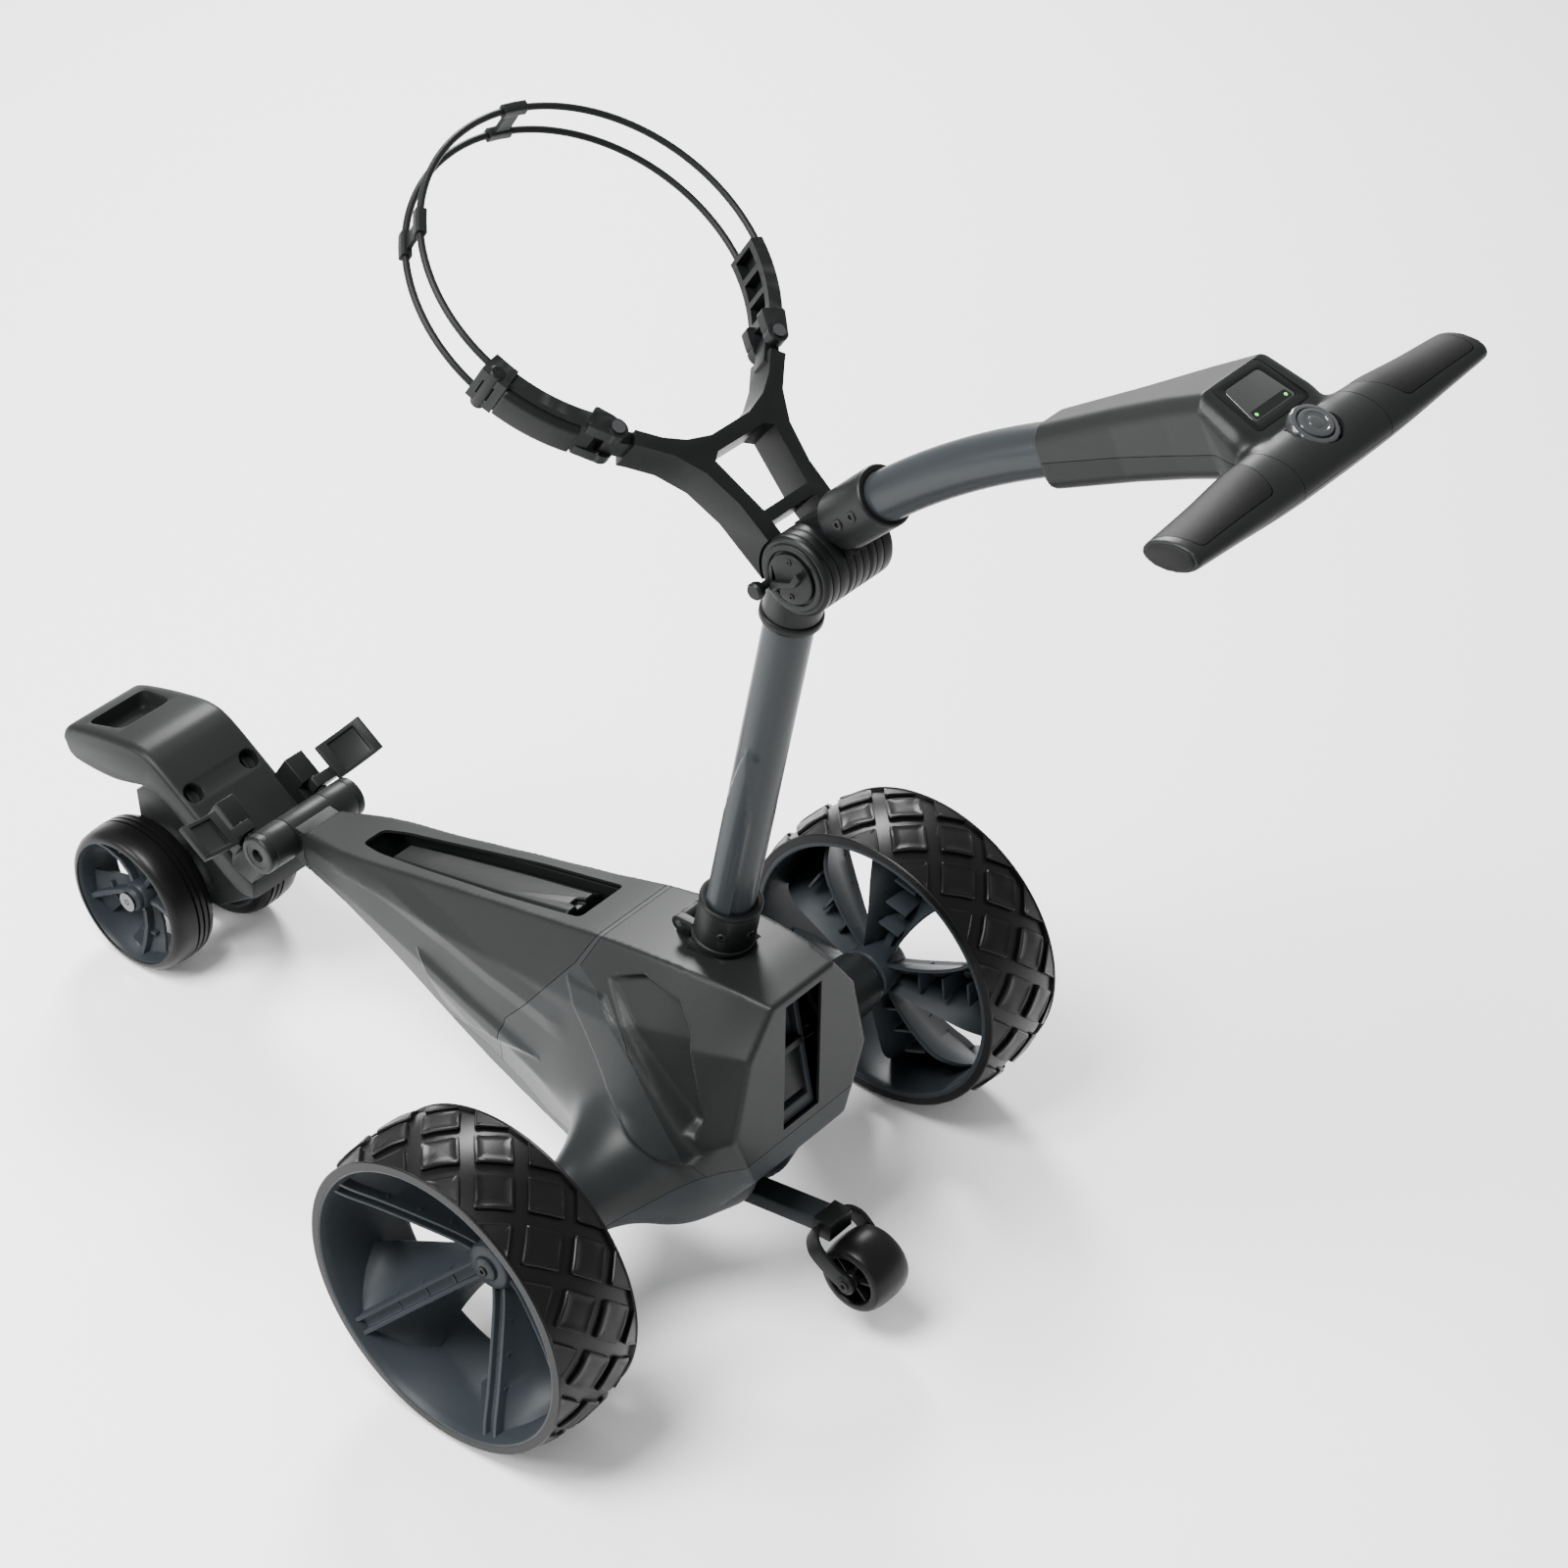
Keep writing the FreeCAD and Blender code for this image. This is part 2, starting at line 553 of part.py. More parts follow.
def curved_tube(outer, inner, sweep):
    start, centre = tube_arc_centre()
    a = math.radians(SOCKET_DIR)
    along = V(0, -math.cos(a), math.sin(a))
    solids = []
    for radius in (outer, inner):
        face = Part.Face(Part.Wire(Part.makeCircle(radius, start, along)))
        solids.append(face.revolve(centre, X_AXIS, sweep))
    return solids[0].cut(solids[1])


def handle_socket():
    knuckle = cyl_x(-KNUCKLE_HALF, KNUCKLE_HALF, DRUM_Y, DRUM_Z, DRUM_R)
    web = socket_frame(box(-KNUCKLE_HALF, KNUCKLE_HALF, -6, 30, 0, 36))
    cup = socket_frame(cyl_z(0, SOCKET_OFFSET, DRUM_R + 1.6, 84, 22))
    bore = socket_frame(cyl_z(0, SOCKET_OFFSET, SOCKET_START, 90, TUBE_R - 2))
    socket = fuse(knuckle, web, cup).cut(bore)
    return socket.cut(cyl_x(-20, 20, DRUM_Y, DRUM_Z, 6 + FIT)).cut(handle_tube_solid())


def handle_tube_solid():
    start, centre = tube_arc_centre()
    a = math.radians(SOCKET_DIR)
    face = Part.Face(Part.Wire(Part.makeCircle(TUBE_R, start, V(0, -math.cos(a), math.sin(a)))))
    return face.revolve(centre, X_AXIS, TUBE_SWEEP)


def handle_tube():
    return curved_tube(TUBE_R, TUBE_R - 2, TUBE_SWEEP)


def socket_screws():
    screws = []
    for z in (52, 68):
        head = cyl_x(-23.5, -20, SOCKET_OFFSET, z, 3.6)
        screws.append(socket_frame(head))
    return screws


def stem_frame(shape):
    """Local -Y runs from the housing's front end up towards the grips."""
    return place(shape, STEM_Y, STEM_Z, -STEM_TILT)


def control_frame(shape):
    """Local Z is square to the face that carries the display and the dial."""
    return place(shape, CONTROL_Y, CONTROL_Z, CONTROL_TILT)


def ellipse_wire(x, y, z, ry, rz, tilt):
    """Ellipse in a plane across X, its long axis ry tipped about X."""
    a = math.radians(tilt)
    major, minor = V(0, math.cos(a), math.sin(a)), V(0, -math.sin(a), math.cos(a))
    centre = V(x, y, z)
    curve = Part.Ellipse(centre + major * ry, centre + minor * rz, centre)
    return Part.Wire(curve.toShape())


def bar_solid(inset=0.0, half=GRIP_HALF):
    """Cross bar: thin flat ends that lean back, thick in the middle."""
    outline = ((1.0, -491, 944.5, 20.0, 9.5, -12), (0.7, -490, 944, 22, 12.5, -8),
               (0.42, -488, 943, 23.5, 15.5, 0), (0.2, BAR_Y, BAR_Z, 24.5, 16.5, 0))
    sections = [(share * half, y, z, ry - inset, rz - inset, tilt)
                for share, y, z, ry, rz, tilt in outline]
    sections = [(-x, *rest) for x, *rest in sections] + sections[::-1]
    return Part.makeLoft([ellipse_wire(*section) for section in sections], True, False)


def housing_section(y, z, tilt, half, low, high, bevel):
    """Eight-sided section of the housing, square to a line that is tipped back by tilt."""
    points = [(half, low + bevel), (half, high - bevel), (half - bevel, high),
              (bevel - half, high), (-half, high - bevel), (-half, low + bevel),
              (bevel - half, low), (half - bevel, low)]
    wire = Part.makePolygon([V(x, 0, h) for x, h in points + points[:1]])
    return place(wire, y, z, -tilt)


def stem_solid(inset=0.0):
    """Housing from the tube up to the control face, then down into the cross bar."""
    along, rise = math.cos(math.radians(STEM_TILT)), math.sin(math.radians(STEM_TILT))
    sections = []
    for s, half, low, high in ((0, 23, -22, 22), (70, 27, -21, 29), (155, 40, -20, 36.5)):
        sections.append((STEM_Y - s * along, STEM_Z + s * rise, STEM_TILT, half, low, high))
    sections.append((CONTROL_Y, 939, 0, 45, -18, CONTROL_Z - 939))
    sections.append((-486, BAR_Z, 0, 36, -14, 7.3))
    wires = [housing_section(y, z, tilt, half - inset, low + inset, high - inset, 7.0)
             for y, z, tilt, half, low, high in sections]
    return Part.makeLoft(wires, True, True)


def display_cutout(margin=0.0):
    """Trapezium of the display, wider at its rear edge, in the control frame."""
    half_rear, half_front = 22.0 + margin, 18.0 + margin
    y0, y1 = 1.5 - margin, 30.0 + margin
    return [(half_rear, y0), (half_front, y1), (-half_front, y1), (-half_rear, y0)]


def handle_body():
    return bar_solid().fuse(stem_solid()).removeSplitter()


def handle_cavity():
    return bar_solid(3.0, GRIP_HALF - 12).fuse(stem_solid(3.2))


def handle_shells():
    whole = handle_body().cut(handle_cavity()).cut(handle_tube_solid())
    window = control_frame(slab(display_cutout(0.3), -8, 12))
    well = control_frame(cyl_z(0, -DIAL_BACK, -14, 14, CAP_R + 2))
    room = control_frame(cyl_z(0, -DIAL_BACK, 0.8, 14, DIAL_R + 0.6))
    whole = whole.cut(window).cut(well).cut(room)
    for pad in grip_pad_regions():
        whole = whole.cut(pad)
    along, rise = math.cos(math.radians(STEM_TILT)), math.sin(math.radians(STEM_TILT))
    split = prism([(-250, STEM_Z - 53 * rise / along), (-445, STEM_Z + 142 * rise / along), (-540, 940),
                   (-540, 800), (-250, 760)], -200, 200)
    return whole.cut(split), whole.common(split)


def grip_pad_regions():
    """Blocks over the upper side of each half of the bar, out to just short of its ends."""
    outline = [(72, -505), (146, -506), (150, -474), (62, -472)]
    return [mirrored(slab(outline, 946, 1000), side) for side in (-1, 1)]


def grip_pads():
    body, cavity = handle_body(), handle_cavity()
    return [body.common(region).cut(cavity) for region in grip_pad_regions()]


def display_panel():
    return control_frame(slab(display_cutout(), -3.4, -0.6))


def handle_board():
    return control_frame(box(-17, 17, 2, 28, -9.5, -8))


def dial_ring():
    """Knurled ring with a stem that reaches down into the housing and a floor under the cap."""
    ring = cyl_z(0, -DIAL_BACK, 1.2, 9.6, DIAL_R)
    stem = cyl_z(0, -DIAL_BACK, -6, 1.2, CAP_R + 1.6)
    bore = cyl_z(0, -DIAL_BACK, -3, 12, CAP_R + GAP)
    return control_frame(ring.fuse(stem).cut(bore).removeSplitter())


def dial_button():
    return control_frame(cyl_z(0, -DIAL_BACK, 0.4, 11.5, CAP_R))


# === front section ========================================================================
PLATE_SLOPE = 33.0
PLATE_Y, PLATE_Z = 532.0, 194.0       # centre of the bag-lock holes on the sloped plate
LOCK_HOLE_X, LOCK_HOLE_R = 32.0, 9.0


def foot_plate():
    """Sloped plate, crest and flat nose, one moulding 5 mm thick with side cheeks."""
    top = [(452, 148), (471, 154.5), (566, 216), (578, 221), (600, 219), (676, 199), (684, 190)]
    under = [(682, 176), (672, 168), (640, 172), (598, 180), (575, 186), (540, 170), (470, 126),
             (452, 130)]
    solid = prism(top + under, -46, 46)
    hollow = prism([(462, 120), (560, 190), (585, 208), (660, 190), (668, 160), (560, 150),
                    (480, 110)], -41, 41)
    plate = solid.cut(hollow)
    pocket = prism([(618, 240), (618, 208), (664, 196), (664, 240)], -30, 30)
    floor = prism([(610, 200), (672, 186), (672, 182), (610, 196)], -44, 44)
    plate = plate.cut(pocket).fuse(floor)
    boss = lock_frame(cyl_z(LOCK_HOLE_X, 0, -14, 0, LOCK_HOLE_R + 4))
    hole = lock_frame(cyl_z(LOCK_HOLE_X, 0, -12, 8, LOCK_HOLE_R))
    for side in (-1, 1):
        plate = plate.fuse(mirrored(boss, side))
    for side in (-1, 1):
        plate = plate.cut(mirrored(hole, side))
    return plate.removeSplitter()


def lock_frame(shape):
    return place(shape, PLATE_Y, PLATE_Z, PLATE_SLOPE)


def wheel_bracket():
    """Keel between the front wheels, from the hinge to the axle and up to the plate."""
    keel = prism([(450, 182), (452, 148), (478, 104), (520, 74), (575, 53), (602, 53), (612, 72),
                  (618, 150), (600, 166), (556, 158), (500, 140), (470, 148), (462, 170)], -24, 24)
    keel = keel.cut(foot_plate()).cut(cyl_x(-60, 60, FRONT_HINGE_Y, FRONT_HINGE_Z, FRONT_HINGE_R))
    keel = keel.cut(cyl_x(-30, 30, FRONT_Y, FRONT_R, 5)).cut(neck_space())
    return max(keel.Solids, key=lambda solid: solid.Volume)


def neck_space():
    """Room that the neck needs as the front section folds under."""
    barrel = cyl_x(-22 - GAP, 22 + GAP, FRONT_HINGE_Y, FRONT_HINGE_Z, FRONT_HINGE_R + GAP)
    web = box(-24, 24, 400, 430, 150, 215)
    return barrel.fuse(web)


def front_axle():
    return fuse(cyl_x(-68, 68, FRONT_Y, FRONT_R, 5), cyl_x(64, 70, FRONT_Y, FRONT_R, 9),
                cyl_x(-70, -64, FRONT_Y, FRONT_R, 9))


def hinge_barrels():
    """Outer barrels of the front hinge with webs down to the plate, and their end caps."""
    out = []
    for side in (-1, 1):
        barrel = cyl_x(22 + GAP, FRONT_HINGE_HALF, FRONT_HINGE_Y, FRONT_HINGE_Z, FRONT_HINGE_R)
        web = prism([(438, 180), (440, 200), (474, 164), (474, 152), (452, 149)], 22 + GAP, 46)
        piece = fuse(barrel, web).cut(cyl_x(20, 60, FRONT_HINGE_Y, FRONT_HINGE_Z, 6))
        piece = piece.cut(lower_block())
        out.append(mirrored(piece, side).cut(foot_plate()).cut(wheel_bracket()))
    return out


def front_pin():
    return cyl_x(-50, 50, FRONT_HINGE_Y, FRONT_HINGE_Z, 6 - FIT)


LOWER_PIVOT_X, LOWER_PIVOT_Y, LOWER_PIVOT_Z = 42.0, 458.0, 196.0


def lower_frame(shape):
    """Local frame of a lower arm: Z is square to the sloped plate."""
    return place(shape, LOWER_PIVOT_Y, LOWER_PIVOT_Z, PLATE_SLOPE, LOWER_PIVOT_X)


def lower_block():
    """Socket block that the finger pivots in, standing on the plate's edge."""
    block = box(-12, 8, 8.6, 34, -26, 2).fuse(box(-12, 8, -6, 8.7, -26, -9))
    return lower_frame(block)


def lower_finger():
    outline = [(-6, -7), (7, -7), (20, -2), (40, 2), (56, 12), (52, 16), (36, 8), (16, 5), (-6, 7)]
    finger = Part.Face(Part.makePolygon([V(x, -2, z) for x, z in outline + outline[:1]]))
    finger = finger.extrude(V(0, 10, 0))
    pad = Part.Face(Part.makePolygon([V(x, -6, z) for x, z in
                                      [(18, 4), (36, 8), (56, 16), (60, 22), (34, 13), (17, 8), (18, 4)]]))
    return finger.fuse(pad.extrude(V(0, 34, 0))).cut(lower_bore()).removeSplitter()


def lower_bore():
    return Part.makeCylinder(2.5 + FIT, 60, V(0, -20, 0), Y_AXIS)


def lower_pin():
    return lower_frame(Part.makeCylinder(2.5, 14, V(0, -4, 0), Y_AXIS).fuse(
        Part.makeCylinder(5, 2.4, V(0, -5.0, 0), Y_AXIS)))


# === export ===============================================================================
def save_sides(name, make):
    for label, side in SIDES:
        save(name + "_" + label, mirrored(make(), side))


def save_wheels():
    save_sides("rear_tyre", rear_tyre)
    save_sides("rear_rim", rear_rim)
    save_sides("drive_shaft", drive_shaft)
    save("drive_units", *[mirrored(part, side) for part in drive_unit() for side in (-1, 1)])
    save("axle_bearings", axle_bearing(), mirrored(axle_bearing(), -1))
    save_sides("front_tyre", front_tyre)
    save_sides("front_rim", front_rim)
    save("anti_tip_wheel", tip_wheel())
    save("anti_tip_bar", tip_bar().cut(body_solid(WALL)))
    save("anti_tip_fork", tip_fork(), tip_axle())


def save_body():
    whole = shell()
    belly = belly_region()
    pocket = rear_pocket()
    upper = whole.cut(belly).cut(pocket)
    front = box(-200, 200, SEAM_Y, 500, -50, 500)
    panels = (panel_region(), panel_region().mirror(V(0, 0, 0), X_AXIS))
    rear = upper.cut(front)
    save("front_cover", upper.common(front))
    save("rear_cover", rear.cut(panels[0]).cut(panels[1]))
    save("side_panels", rear.common(panels[0]), rear.common(panels[1]))
    save("belly_pan", whole.common(belly).cut(pocket))
    save_sides("axle_housing", lambda: axle_housing(body_solid()))
    save("rear_frame", rear_frame())
    save("latch_lever", latch_lever())
    save("bay_tray", bay_tray().cut(drive_space()))
    save("battery", battery())
    save("battery_plug", battery_plug())
    save("motor_controller", controller())
    save("spine_neck", neck())
    save("mast_seat", mast_seat())


def drive_space():
    return cyl_x(-100, 100, 0, REAR_R, 31)


def save_mast():
    save("mast_tube", mast_tube().fuse(mast_facet()).removeSplitter())
    save("mast_collar", mast_collar().cut(Part.makeCompound(collar_screws())))
    save("hinge_head", hinge_head())
    save("mast_pins", mast_pin(), hinge_pin(), *arm_pins())
    save("collar_screws", *collar_screws())
    save("hinge_caps", *hinge_caps())
    save("hinge_catch", hinge_catch())
    save("cradle_bracket", cradle_bracket())
    for label, side in SIDES:
        save("upper_arm_" + label, upper_arm(side))
        save("strap_" + label, *strap(label, side))
    save("buckle_lever", buckle_lever())


def save_handle():
    top, bottom = handle_shells()
    save("handle_socket", handle_socket().cut(Part.makeCompound(socket_screws())))
    save("handle_tube", handle_tube())
    save("socket_screws", *socket_screws())
    save("handle_top", top)
    save("handle_bottom", bottom)
    save("grip_pads", *grip_pads())
    save("display_panel", display_panel())
    save("handle_board", handle_board())
    save("dial_ring", dial_ring())
    save("dial_button", dial_button())


def save_front():
    save("foot_plate", foot_plate())
    save("wheel_bracket", wheel_bracket())
    save("front_axle", front_axle())
    save("front_hinge_barrels", *hinge_barrels())
    save("front_hinge_pin", front_pin())
    block = lower_block().cut(foot_plate())
    save("lower_arm_blocks", *[mirrored(shape, side) for shape in (block, lower_pin()) for side in (-1, 1)])
    save_sides("lower_arm", lambda: lower_frame(lower_finger()))


def main():
    os.makedirs("parts", exist_ok=True)
    save_wheels()
    save_body()
    save_mast()
    save_handle()
    save_front()
    whole = BOXES[0]
    for bound in BOXES[1:]:
        whole.add(bound)
    print("nodes", len(BOXES), "x", whole.XMin, whole.XMax, "y", whole.YMin, whole.YMax,
          "z", whole.ZMin, whole.ZMax)


main()
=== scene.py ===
import json
import math

import bmesh
import bpy
import numpy as np
from mathutils import Matrix, Vector


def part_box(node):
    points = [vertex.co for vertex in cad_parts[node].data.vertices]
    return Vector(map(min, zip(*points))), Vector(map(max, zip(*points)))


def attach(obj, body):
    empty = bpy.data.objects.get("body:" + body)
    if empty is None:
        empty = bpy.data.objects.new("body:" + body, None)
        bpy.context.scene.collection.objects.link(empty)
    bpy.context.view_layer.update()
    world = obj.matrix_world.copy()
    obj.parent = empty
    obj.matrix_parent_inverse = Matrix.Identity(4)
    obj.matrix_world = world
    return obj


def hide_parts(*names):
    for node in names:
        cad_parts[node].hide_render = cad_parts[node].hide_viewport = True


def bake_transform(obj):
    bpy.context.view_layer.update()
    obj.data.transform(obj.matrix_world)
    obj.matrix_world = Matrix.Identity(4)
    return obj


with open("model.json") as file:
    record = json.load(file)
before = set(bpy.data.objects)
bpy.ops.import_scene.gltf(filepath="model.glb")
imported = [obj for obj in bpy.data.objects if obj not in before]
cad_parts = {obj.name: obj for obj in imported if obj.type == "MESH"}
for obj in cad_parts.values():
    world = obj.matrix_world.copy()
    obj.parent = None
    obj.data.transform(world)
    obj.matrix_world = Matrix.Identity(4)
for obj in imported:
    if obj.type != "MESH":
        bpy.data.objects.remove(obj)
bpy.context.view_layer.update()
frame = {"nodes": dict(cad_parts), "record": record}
NODES = frame["nodes"]

# Shapes are written in millimetres from the ground under the rear axle: +X right, +Y travel
# direction, +Z up. SHIFT_Y carries them to the frame's origin, read off a rear tyre.
tyre_low, tyre_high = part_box("rear_tyre_left")
SHIFT_Y = (tyre_low.y + tyre_high.y) * 500.0
TO_ROW = Matrix.Scale(0.001, 4) @ Matrix.Translation((0, SHIFT_Y, 0))

REAR_R, REAR_X, REAR_HALF = 133.0, 257.0, 43.0
FRONT_R, FRONT_X, FRONT_Y, FRONT_HALF = 69.0, 51.5, 589.0, 22.0
DRUM_Y, DRUM_Z, DRUM_R = -115.5, 702.0, 30.0
HOOP_L, HOOP_R = 253.0, 132.5
ARM_TIP, LOCK_SPAN = -17, 8             # degrees round the hoop
CORD_R, CORD_SPREAD = 2.6, 14           # cord radius, distance from the hoop's mid plane
CLIP_AT = {"left": 41.5, "right": 76.5}  # cross clips, degrees round the hoop
BEND_R, BEND_START, BEND_SWEEP = 650, 45, 20    # bent handle tube
STEM_ANGLE = math.radians(27.5)
GRIP_Y, GRIP_Z, GRIP_TILT = -491, 944.5, -12
TIP_Y, TIP_Z = -171, 63                 # anti-tip wheel's axle
DIAL_BACK = -24.7                       # dial's centre behind the display's edge
SIDES = (("left", -1), ("right", 1))
WALL = 2.6                              # thickness of the moulded covers


def at(y, z, tilt=0.0, x=0.0):
    return Matrix.Translation((x, y, z)) @ Matrix.Rotation(math.radians(tilt), 4, "X")


HERE = Matrix.Identity(4)
MAST = at(-25, 318, 10.6)
HOOP = at(DRUM_Y, DRUM_Z, 33)
SOCKET = at(DRUM_Y, DRUM_Z, 45)
CONTROL = at(-459, 958.7, 19.2)
REAR = at(-86, 241, -11.2)
BAY = at(219, 253, -14.3)
PLATE = at(532, 194, 33)
FINGER = at(458, 196, 33, 42)


# === materials ============================================================================
MOTTLE = 0.12       # share by which the slow noise moves a colour


def preset(node, **inputs):
    """A shader node with some of its inputs set."""
    for name, value in inputs.items():
        node.inputs[name.replace("_", " ")].default_value = value
    return node


def material(name, color, rough, grain=900.0, bump=0.25, metallic=0.0, coat=0.0, wear=0.25):
    """Moulded or painted surface: fine grain in the bump, slow mottling in colour and gloss,
    paler rubbed edges where the shape is convex."""
    mat = bpy.data.materials.new(name)
    mat.use_nodes = True
    tree = mat.node_tree
    node, link = tree.nodes, tree.links
    shader = preset(node["Principled BSDF"], Metallic=metallic, Specular_IOR_Level=0.13,
                    Coat_Weight=coat, Coat_Roughness=0.12)
    coord = node.new("ShaderNodeTexCoord")
    fine = preset(node.new("ShaderNodeTexNoise"), Scale=grain, Detail=6.0)
    slow = preset(node.new("ShaderNodeTexNoise"), Scale=14.0, Detail=4.0)
    for noise in (fine, slow):
        link.new(coord.outputs["Object"], noise.inputs["Vector"])
    mottled, rubbed = node.new("ShaderNodeMix"), node.new("ShaderNodeMix")
    mottled.data_type = rubbed.data_type = "RGBA"
    preset(mottled, A=(*[c * (1 - MOTTLE) for c in color], 1), B=(*[c * (1 + MOTTLE) for c in color], 1))
    link.new(slow.outputs["Fac"], mottled.inputs["Factor"])
    geometry = node.new("ShaderNodeNewGeometry")
    edge = preset(node.new("ShaderNodeMapRange"), From_Min=0.52, From_Max=0.62, To_Max=wear)
    link.new(geometry.outputs["Pointiness"], edge.inputs["Value"])
    preset(rubbed, B=(*[min(1, c * 2.0 + 0.004) for c in color], 1))
    link.new(mottled.outputs["Result"], rubbed.inputs["A"])
    link.new(edge.outputs["Result"], rubbed.inputs["Factor"])
    link.new(rubbed.outputs["Result"], shader.inputs["Base Color"])
    gloss = preset(node.new("ShaderNodeMapRange"), To_Min=rough - 0.05, To_Max=rough + 0.06)
    link.new(fine.outputs["Fac"], gloss.inputs["Value"])
    link.new(gloss.outputs["Result"], shader.inputs["Roughness"])
    relief = preset(node.new("ShaderNodeBump"), Strength=bump, Distance=0.0003)
    link.new(fine.outputs["Fac"], relief.inputs["Height"])
    link.new(relief.outputs["Normal"], shader.inputs["Normal"])
    return mat


COVER = material("cover_plastic", (0.0065, 0.0071, 0.0071), 0.40)
PAN = material("pan_plastic", (0.0143, 0.0171, 0.0193), 0.46)
PANEL = material("panel_plastic", (0.011, 0.0125, 0.0127), 0.38)
BLACK = material("black_plastic", (0.0032, 0.0035, 0.0036), 0.40)
FOOT = material("foot_plastic", (0.0059, 0.0065, 0.0065), 0.42)
RIM = material("rim_plastic", (0.015, 0.0185, 0.0215), 0.40)
TYRE = material("tyre_rubber", (0.0026, 0.0026, 0.0026), 0.34, grain=1400, bump=0.2, wear=0.12)
MAST_PAINT = material("mast_paint", (0.0121, 0.0147, 0.0165), 0.36, grain=2200, bump=0.12, coat=0.1)
BAR_PAINT = material("bar_paint", (0.0132, 0.016, 0.0176), 0.38, grain=2200, bump=0.12)
STEEL = material("steel", (0.085, 0.086, 0.09), 0.34, grain=1800, metallic=1.0, wear=0.1)
ALLOY = material("motor_metal", (0.42, 0.43, 0.44), 0.36, grain=1500, metallic=1.0, wear=0.1)
CORD = material("cord_rubber", (0.0045, 0.0049, 0.005), 0.45, grain=2500, bump=0.35)
PAD = material("grip_rubber", (0.0028, 0.0028, 0.0029), 0.52, grain=3200, bump=0.55, wear=0.08)
CASE = material("battery_case", (0.0027, 0.003, 0.003), 0.38, grain=1600, bump=0.4)
SCREW = material("screw_steel", (0.008, 0.008, 0.008), 0.34, metallic=0.25, grain=2500, wear=0.2)
BOARD = material("board", (0.01, 0.09, 0.03), 0.45, grain=700)
GLASS = material("screen_glass", (0.012, 0.013, 0.013), 0.10, grain=300, bump=0.02, wear=0.0,
                 coat=1.0)
DIAL = material("dial_plastic", (0.021, 0.0228, 0.024), 0.22, grain=1200, bump=0.08, coat=0.6)


def led_material():
    """Green light mixed from two greens by a fine noise, so it is not one flat colour."""
    mat = material("led_green", (0.05, 0.5, 0.06), 0.3, wear=0.0)
    node, link = mat.node_tree.nodes, mat.node_tree.links
    noise = preset(node.new("ShaderNodeTexNoise"), Scale=600.0)
    glow = node.new("ShaderNodeMix")
    glow.data_type = "RGBA"
    preset(glow, A=(0.03, 0.55, 0.05, 1), B=(0.15, 0.9, 0.2, 1))
    link.new(noise.outputs["Fac"], glow.inputs["Factor"])
    link.new(glow.outputs["Result"], node["Principled BSDF"].inputs["Emission Color"])
    preset(node["Principled BSDF"], Emission_Strength=1.6)
    return mat


LED = led_material()
SLOTS = {"cover_plastic": COVER, "pan_plastic": PAN, "panel_plastic": PANEL, "black_plastic": BLACK,
         "rim_plastic": RIM, "tyre_rubber": TYRE, "mast_paint": MAST_PAINT, "bar_paint": BAR_PAINT,
         "steel": STEEL, "motor_metal": ALLOY, "cord_rubber": CORD, "grip_rubber": PAD,
         "battery_case": CASE, "screw_steel": SCREW, "board": BOARD, "screen_glass": GLASS,
         "dial_plastic": DIAL}
SLOT_OF = {id(mat): slot for slot, mat in SLOTS.items()}
SLOT_OF[id(FOOT)] = "cover_plastic"
SLOT_OF[id(LED)] = "screen_glass"


# === mesh helpers =========================================================================
def ring_faces(count, rings):
    """Quads between successive rings of equal count."""
    faces = []
    for i in range(rings - 1):
        for j in range(count):
            a, b = i * count + j, i * count + (j + 1) % count
            faces.append((a, b, b + count, a + count))
    return faces


def loft(rings, capped=True):
    verts = [p for ring in rings for p in ring]
    count = len(rings[0])
    faces = ring_faces(count, len(rings))
    if capped:
        faces.append(tuple(range(count))[::-1])
        faces.append(tuple(range(len(verts) - count, len(verts))))
    return verts, faces


def lathe(profile, y=0.0, z=0.0, steps=96):
    """A closed (x, radius) outline turned about an axis along X. A radius of 0 is kept tiny."""
    verts, count = [], len(profile)
    for i in range(steps):
        a = 2 * math.pi * i / steps
        verts += [(x, y + max(r, 0.02) * math.cos(a), z + max(r, 0.02) * math.sin(a))
                  for x, r in profile]
    faces = []
    for i in range(steps):
        for j in range(count):
            a, b = i * count, (i + 1) % steps * count
            k = (j + 1) % count
            faces.append((a + j, a + k, b + k, b + j))
    return verts, faces


def block(x0, x1, y0, y1, z0, z1):
    ring = lambda z: [(x0, y0, z), (x1, y0, z), (x1, y1, z), (x0, y1, z)]
    return loft([ring(z0), ring(z1)])


def prism_x(points, x0, x1):
    return loft([[(x, y, z) for y, z in points] for x in (x0, x1)])


def prism_z(points, z0, z1):
    return loft([[(x, y, z) for x, y in points] for z in (z0, z1)])


def circle(r, steps=24):
    return [(r * math.cos(2 * math.pi * i / steps), r * math.sin(2 * math.pi * i / steps))
            for i in range(steps)]


def disc_z(x, y, z0, z1, r, steps=48, taper=1.0):
    return loft([[(x + a, y + b, z) for a, b in circle(k * r, steps)] for z, k in ((z0, 1), (z1, taper))])


def disc_x(x0, x1, y, z, r, steps=48):
    return loft([[(x, y + a, z + b) for a, b in circle(r, steps)] for x in (x0, x1)])


def joined(*parts):
    verts, faces = [], []
    for v, f in parts:
        base = len(verts)
        verts += list(v)
        faces += [tuple(i + base for i in face) for face in f]
    return verts, faces


def moved(part, matrix):
    return [tuple(matrix @ Vector(v)) for v in part[0]], part[1]


def flipped(part):
    """Mirror across the trolley's middle plane."""
    return [(-x, y, z) for x, y, z in part[0]], [tuple(reversed(f)) for f in part[1]]


def sided(part, side):
    return part if side > 0 else flipped(part)


